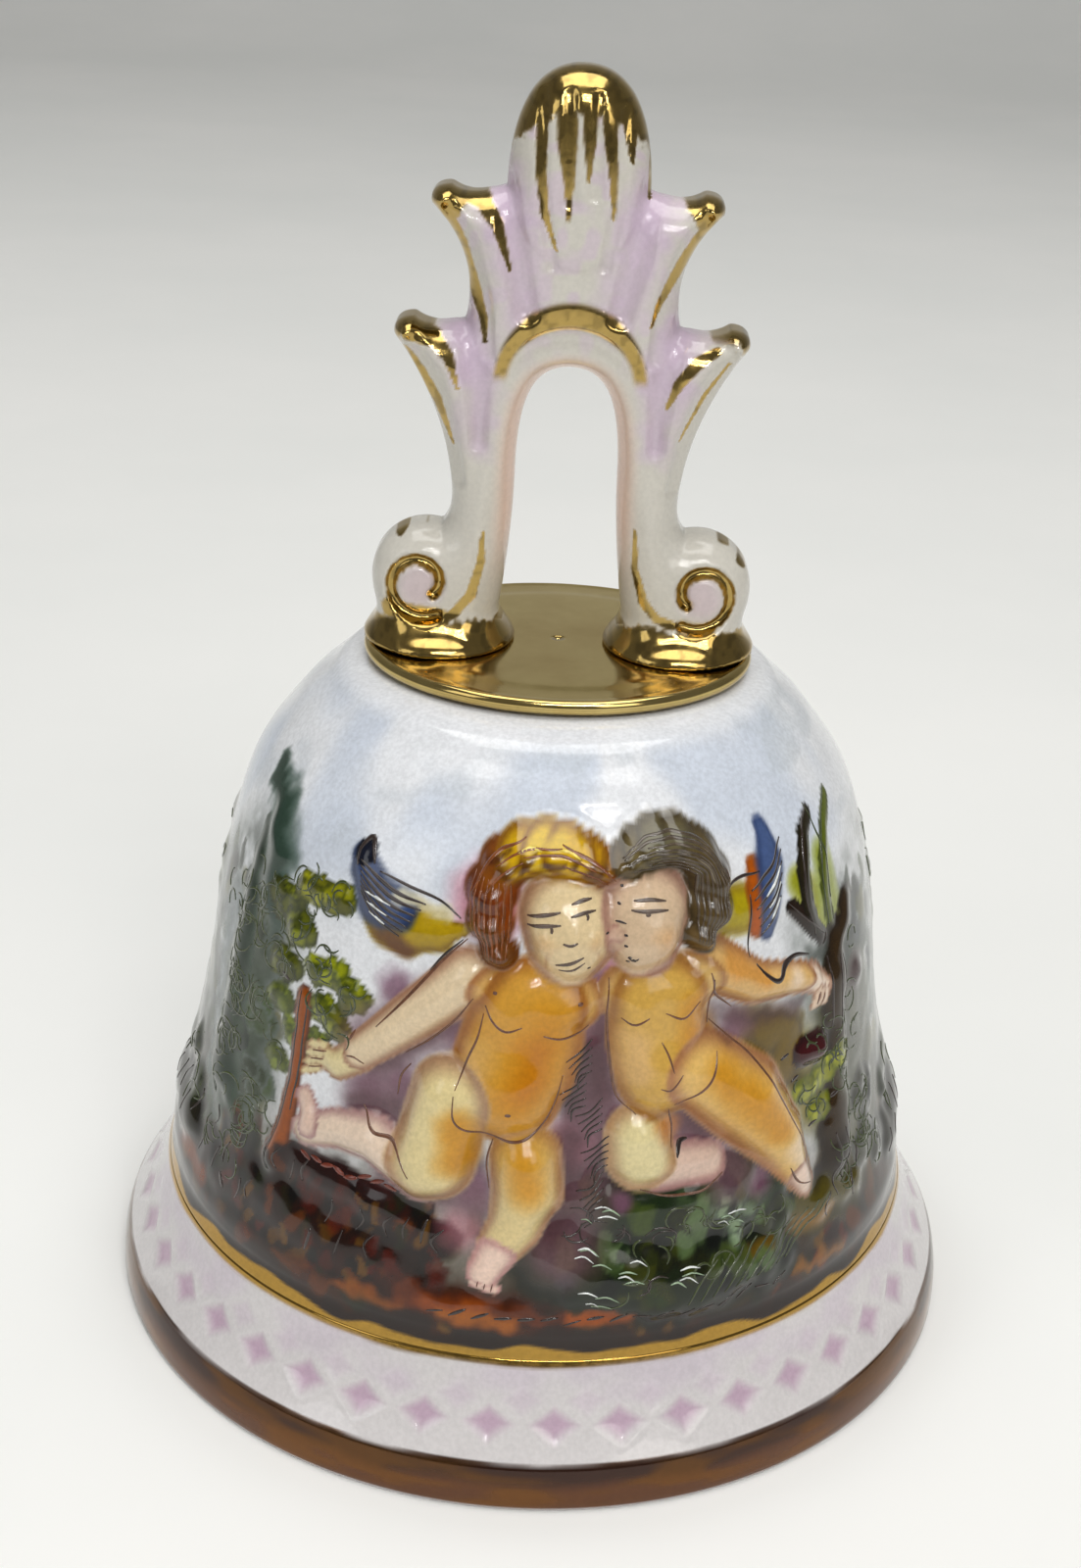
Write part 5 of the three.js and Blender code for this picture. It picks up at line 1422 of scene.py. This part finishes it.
def right_putto_lines(ink, soft, contour):
    soft.stroke([(14.1, 49.0), (16.8, 49.05), (19.4, 48.85)], 0.17)
    soft.stroke([(13.6, 48.4), (16.6, 48.3), (19.6, 48.25)], 0.2)
    soft.dot(16.2, 48.1, 0.2)
    for degrees, height in ((12.6, 49.8), (11.9, 48.7), (9.9, 46.7), (12.7, 46.6), (12.7, 45.8),
            (13.3, 44.9), (13.1, 44.5), (13.9, 44.7), (7.0, 44.3)):
        ink.dot(degrees, height, 0.13)
    ink.stroke([(11.2, 47.5), (12.0, 47.5), (12.8, 47.45)], 0.12)
    ink.stroke([(13.0, 44.9), (13.9, 44.6), (14.6, 44.9)], 0.1)
    contour.stroke([(12.4, 39.9), (14.2, 39.5), (16.4, 40.1)], 0.12)
    contour.stroke([(19.0, 40.3), (22.0, 39.7), (25.0, 40.6)], 0.12)
    contour.stroke([(18.3, 38.1), (19.3, 37.0), (20.0, 35.7)], 0.1)
    contour.stroke([(18.0, 34.5), (19.6, 34.3), (21.4, 35.4)], 0.11)
    contour.stroke([(20.8, 32.5), (23.4, 33.1), (26.0, 34.6), (27.6, 36.4)], 0.13)
    contour.stroke([(10.6, 42.8), (10.4, 40.0), (11.0, 36.4), (12.2, 33.2), (15.0, 31.9)], 0.12)
    contour.stroke([(27.4, 42.2), (27.9, 40.4), (27.2, 38.2)], 0.12)
    contour.stroke([(26.8, 42.8), (28.4, 40.6), (32.0, 38.9)], 0.13)
    ink.stroke([(36.6, 42.0), (38.2, 41.0), (40.4, 40.3), (43.0, 40.9), (46.6, 41.1), (50, 40.6)], 0.26)
    contour.stroke([(27.6, 38.4), (31.0, 36.7), (35.0, 34.6), (39.2, 30.7), (42.2, 27.6), (44.2, 25.6)],
        0.14)
    ink.stroke([(21.5, 27.9), (22.4, 28.8), (23.7, 28.9)], 0.26)
    contour.stroke([(15.8, 25.6), (19.8, 25.0), (25.0, 24.9), (29, 25.8)], 0.13)
    contour.stroke([(20.8, 28.6), (21.2, 30.2), (20.2, 32.0)], 0.11)
    contour.stroke([(40.8, 24.4), (43.0, 22.6), (45.6, 22.0)], 0.12)
    for finger in range(2):
        contour.stroke([(51.0 + 1.0 * finger, 37.4 - 0.2 * finger), (50.6 + 1.2 * finger, 36.3)], 0.08)


def hair_lines(brown, dark, gold):
    draw = np.random.default_rng(71)
    for row in range(6):
        inset = row + draw.uniform(-0.3, 0.3)
        over = [(-12.0 + 0.5 * inset, 49.0), (-9.4 + 0.5 * inset, 51.4 - 0.2 * inset),
            (-4, 52.7 - 0.3 * inset), (2.5, 52.9 - 0.3 * inset), (8.2, 51.8 - 0.26 * inset),
            (11.8 - 0.3 * inset, 50.4 - 0.1 * inset)]
        first = (0, 3, 1, 2, 0, 3)[row]
        brown.stroke(over[first:first + 3], draw.uniform(0.1, 0.16))
    for share in np.linspace(0, 1, 8):
        top = (-12.2 + 6.4 * share, 50.2 - 0.2 * share)
        middle = (-12.4 + 6.8 * share, 47.7)
        low = (-9.9 + 4.2 * share, 44.4 + 0.5 * abs(share - 0.5))
        brown.stroke([top, middle, low], draw.uniform(0.1, 0.16))
    # Pale gold strokes on the crown of the left hair: painted highlight.
    for path in ([(-5, 52.0), (-3, 52.3), (-1, 52.2)], [(2, 52.3), (4, 52.2), (5.6, 51.8)]):
        gold.stroke(path, 0.13)
    for row in range(9):
        inset = row + draw.uniform(-0.2, 0.2)
        over = [(13.0 + 0.2 * inset, 51.6 - 0.1 * inset), (17.5, 52.7 - 0.24 * inset),
            (23, 52.9 - 0.3 * inset), (28.4 - 0.3 * inset, 52.0 - 0.24 * inset),
            (31.0 - 0.62 * inset, 49.8), (30.8 - 0.66 * inset, 47.2),
            (28.0 - 0.4 * inset, 45.0 + 0.06 * inset)]
        first = draw.integers(0, 3)
        dark.stroke(over[first:], draw.uniform(0.08, 0.14))


def wing_lines(ink, white):
    for share in np.linspace(0, 1, 7):
        start = (-20.4 - 3.6 * share, 46.9 - 2.6 * share)
        end = (-34.0 + 1.2 * share, 48.9 - 2.2 * share)
        ink.stroke([start, ((start[0] + end[0]) / 2, (start[1] + end[1]) / 2 - 0.4), end], 0.17)
    ink.stroke([(-14, 46.4), (-18, 47.4), (-24, 47.9), (-30, 48.4)], 0.15)
    ink.stroke([(-13.2, 44.9), (-16, 43.6), (-18.2, 42.2)], 0.12)
    ink.stroke([(-31.4, 48.8), (-33.4, 50.4), (-35.0, 49.6), (-34.6, 48.4)], 0.24)
    for share in np.linspace(0, 1, 6):
        start = (37.6 + 1.2 * share, 47.4 - 3.6 * share)
        end = (47.6 - 3.0 * share, 50.2 - 4.0 * share)
        ink.stroke([start, ((start[0] + end[0]) / 2, (start[1] + end[1]) / 2 - 0.2), end], 0.16)
    ink.stroke([(31.2, 47.8), (35.4, 48.5), (40.2, 48.6)], 0.16)
    ink.stroke([(35.6, 42.6), (36.6, 45.0), (37.2, 47.2)], 0.13)
    for share in (0.2, 0.55, 0.9):
        white.stroke([(40.4 + share, 47.2 - 2.6 * share), (46.0 - 2 * share, 49.0 - 3.2 * share)], 0.13)
        white.stroke([(-26 - share, 46.9 - 2.2 * share), (-32 + 2 * share, 47.3 - 2 * share)], 0.12)


def leaf_lines(leaf, ink, white, pale):
    leaf.curls([(-49, 43.8), (-44.5, 41.8), (-47.6, 38.6), (-51, 41.5)], 1.6, 81, 0.13)
    leaf.curls([(-44.8, 45.3), (-40.6, 45.4), (-36.6, 45.4), (-42.4, 43.9), (-38.4, 43.8)], 1.25, 82, 0.12)
    leaf.curls([(-39.8, 39.4), (-35.6, 39.4), (-31.6, 38.4), (-37.0, 36.4), (-33.8, 35.4), (-38, 41.4)],
        1.3, 83, 0.12)
    leaf.curls([(-57, 40), (-60, 34), (-52, 33), (-57, 28), (-51, 27), (-62, 30), (-55, 24)], 1.9, 84, 0.14)
    draw = np.random.default_rng(88)
    leaf.curls([(draw.uniform(-64, -46), draw.uniform(18, 42)) for _ in range(26)], 1.3, 89, 0.1)
    leaf.curls([(draw.uniform(54, 65), draw.uniform(18, 40)) for _ in range(14)], 1.3, 90, 0.1)
    leaf.curls([(draw.uniform(100, 260), draw.uniform(19, 38)) for _ in range(54)], 1.5, 91, 0.11)
    leaf.curls([(47.0, 29.4), (52.4, 30.0), (50.4, 27.2), (57.6, 30.6), (49, 33.6)], 1.2, 85, 0.11)
    leaf.curls([(22, 22.4), (17, 20.4), (26, 18.4), (38, 20.4), (12, 18.4), (33, 20.4), (29, 23)], 1.5, 86,
        0.13)
    leaf.curls([(64, 21), (69, 19.5), (66, 25), (61, 23)], 1.8, 87, 0.13)
    for degrees, seed in ((96, 101), (174, 102), (264, 103), (130, 104), (220, 105), (300, 106)):
        leaf.curls([(degrees - 8, 40), (degrees - 2, 43), (degrees + 5, 42), (degrees + 9, 39),
            (degrees, 38)], 1.7, seed, 0.13)
    for degrees, seed in ((84, 111), (110, 112), (146, 113), (190, 114), (206, 115), (240, 116), (282, 117)):
        leaf.curls([(degrees - 5, 21), (degrees + 2, 22.5), (degrees + 7, 20.5)], 1.7, seed, 0.13)
    ink.stroke([(-41.9, 37.0), (-41.8, 31.0), (-42.6, 26.0), (-44.6, 22.4)], 0.15)
    ink.stroke([(-40.2, 36.4), (-40.2, 31.4), (-40.8, 27.0)], 0.1)
    ink.stroke([(-47, 37.6), (-45.4, 37.2)], 0.3)
    ink.stroke([(-54.6, 17.8), (-53.0, 16.8)], 0.35)
    draw = np.random.default_rng(131)
    # Short white and pale green dashes in groups on the bush: painted highlights.
    for degrees, height in ((8.6, 24.4), (7.6, 21.2), (13.4, 19.8), (7.8, 17.6), (20.6, 19.0), (28.4, 22.4)):
        for row in range(4):
            start, level = degrees + draw.uniform(-1.6, 1.6), height - 0.4 * row + draw.uniform(-0.2, 0.2)
            reach, dip = draw.uniform(1.4, 3.4), draw.uniform(0.1, 0.5)
            dash = [(start, level), (start + 0.5 * reach, level + 0.1), (start + reach, level - dip)]
            (pale if row % 2 else white).stroke(dash, draw.uniform(0.06, 0.1))
    ink.curls([(6.4, 23.0), (11.4, 21.8), (16.2, 18.6), (19.6, 21.8)], 1.3, 133, 0.1)
    for degrees, height in ((6.4, 36.4), (5.6, 33.6), (8.2, 31.6), (9.2, 28.6), (8.6, 25.6)):
        for blade in range(5):
            shift = 0.62 * blade
            ink.stroke([(degrees - 2.2 + 0.5 * blade, height - shift),
                (degrees, height + 0.5 - shift * 0.8), (degrees + 1.9, height + 1.5 - shift)], 0.11)
    for blade in range(10):
        low = 22.4 + 1.9 * blade
        lean = 2.6 + 0.35 * blade
        leaf.stroke([(low, 15.8 + 0.1 * blade), (low + 0.7 * lean, 17.6),
            (low + 1.9 * lean, 19.0 + 0.1 * blade)], 0.12)
    for degrees, height in ((42.5, 33.0), (54.0, 27.5), (60, 29.5), (45, 30.6), (48.6, 26.0)):
        ink.stroke([(degrees - 0.8, height), (degrees + 0.9, height + 0.3)], 0.2)


def rock_lines(ink, rust):
    draw = np.random.default_rng(141)
    for degrees in np.arange(-60, -12, 2.6):
        base = 16.4 + draw.uniform(0, 5.6)
        bend = draw.uniform(-1.2, 1.2)
        ink.stroke([(degrees, base), (degrees + bend, base + 1.0), (degrees + 0.6, base + 2.0)],
            draw.uniform(0.1, 0.2))
    for degrees in np.arange(-38, -22, 2.2):
        rust.stroke([(degrees, 23.4 + draw.uniform(0, 0.7)), (degrees + 2.2, 23.6 + draw.uniform(0, 0.7))],
            0.24)
    for degrees in np.arange(-14, 38, 3.2):
        ink.stroke([(degrees, 14.6 + draw.uniform(0, 0.6)), (degrees + 2.4, 14.9 + draw.uniform(0, 0.8))],
            draw.uniform(0.1, 0.2))
    for degrees in np.concatenate([np.arange(50, 62, 2.4), np.arange(74, 300, 4.2)]):
        base = 15.6 + draw.uniform(0, 4.6)
        ink.stroke([(degrees, base), (degrees + draw.uniform(-1, 1), base + 1.1),
            (degrees + 0.8, base + 2.2)], draw.uniform(0.1, 0.18))
    for degrees in (53.0, 55.4, 57.6):
        ink.stroke([(degrees, 24.6), (degrees + 0.5, 22.4), (degrees - 1.0, 20.2)], 0.17)
        ink.stroke([(degrees + 2, 39.6), (degrees + 1.4, 36.4), (degrees + 1.6, 33.4)], 0.14)


def blade_lines(ink, leaf):
    ink.stroke([(58.6, 51.2), (54.0, 50.1), (51.0, 47.6), (50.4, 44.6), (51.6, 42.0)], 0.12)
    leaf.stroke([(68.5, 51.4), (61.5, 49.9), (57.2, 47.4), (56.0, 44.4), (56.4, 42.0)], 0.12)
    ink.stroke([(46.0, 45.4), (49.8, 43.6), (54.0, 41.8)], 0.14)
    leaf.stroke([(58.0, 51.4), (58.6, 48.0), (58.2, 44.0)], 0.13)


def brush_work(surface):
    ink = Brush(surface, "ink_lines", (46, 34, 30))
    soft = Brush(surface, "feature_lines", (88, 72, 62))
    contour = Brush(surface, "contour_lines", (104, 66, 46))
    brown = Brush(surface, "hair_brown_lines", (122, 66, 24))
    dark = Brush(surface, "hair_dark_lines", (76, 64, 50))
    gold = Brush(surface, "hair_highlight_lines", (232, 206, 84))
    white = Brush(surface, "white_lines_and_highlights", (222, 226, 224), 0.07)
    pale = Brush(surface, "pale_green_highlights", (148, 170, 140), 0.06)
    leaf = Brush(surface, "leaf_lines", (56, 66, 30))
    rust = Brush(surface, "rust_lines", (110, 44, 26))
    left_putto_lines(soft, contour)
    right_putto_lines(ink, soft, contour)
    hair_lines(brown, dark, gold)
    wing_lines(ink, white)
    leaf_lines(leaf, ink, white, pale)
    rock_lines(ink, rust)
    blade_lines(ink, leaf)
    for brush in (ink, soft, contour, brown, dark, gold, white, pale, leaf, rust):
        brush.finish()


add_camera()
body_surface = sculpt_body()
bell_body(body_surface)
bell_foot()
handle_piece()
plate_piece()
finish_carried_nodes()
brush_work(body_surface)
add_stage()
add_studio()
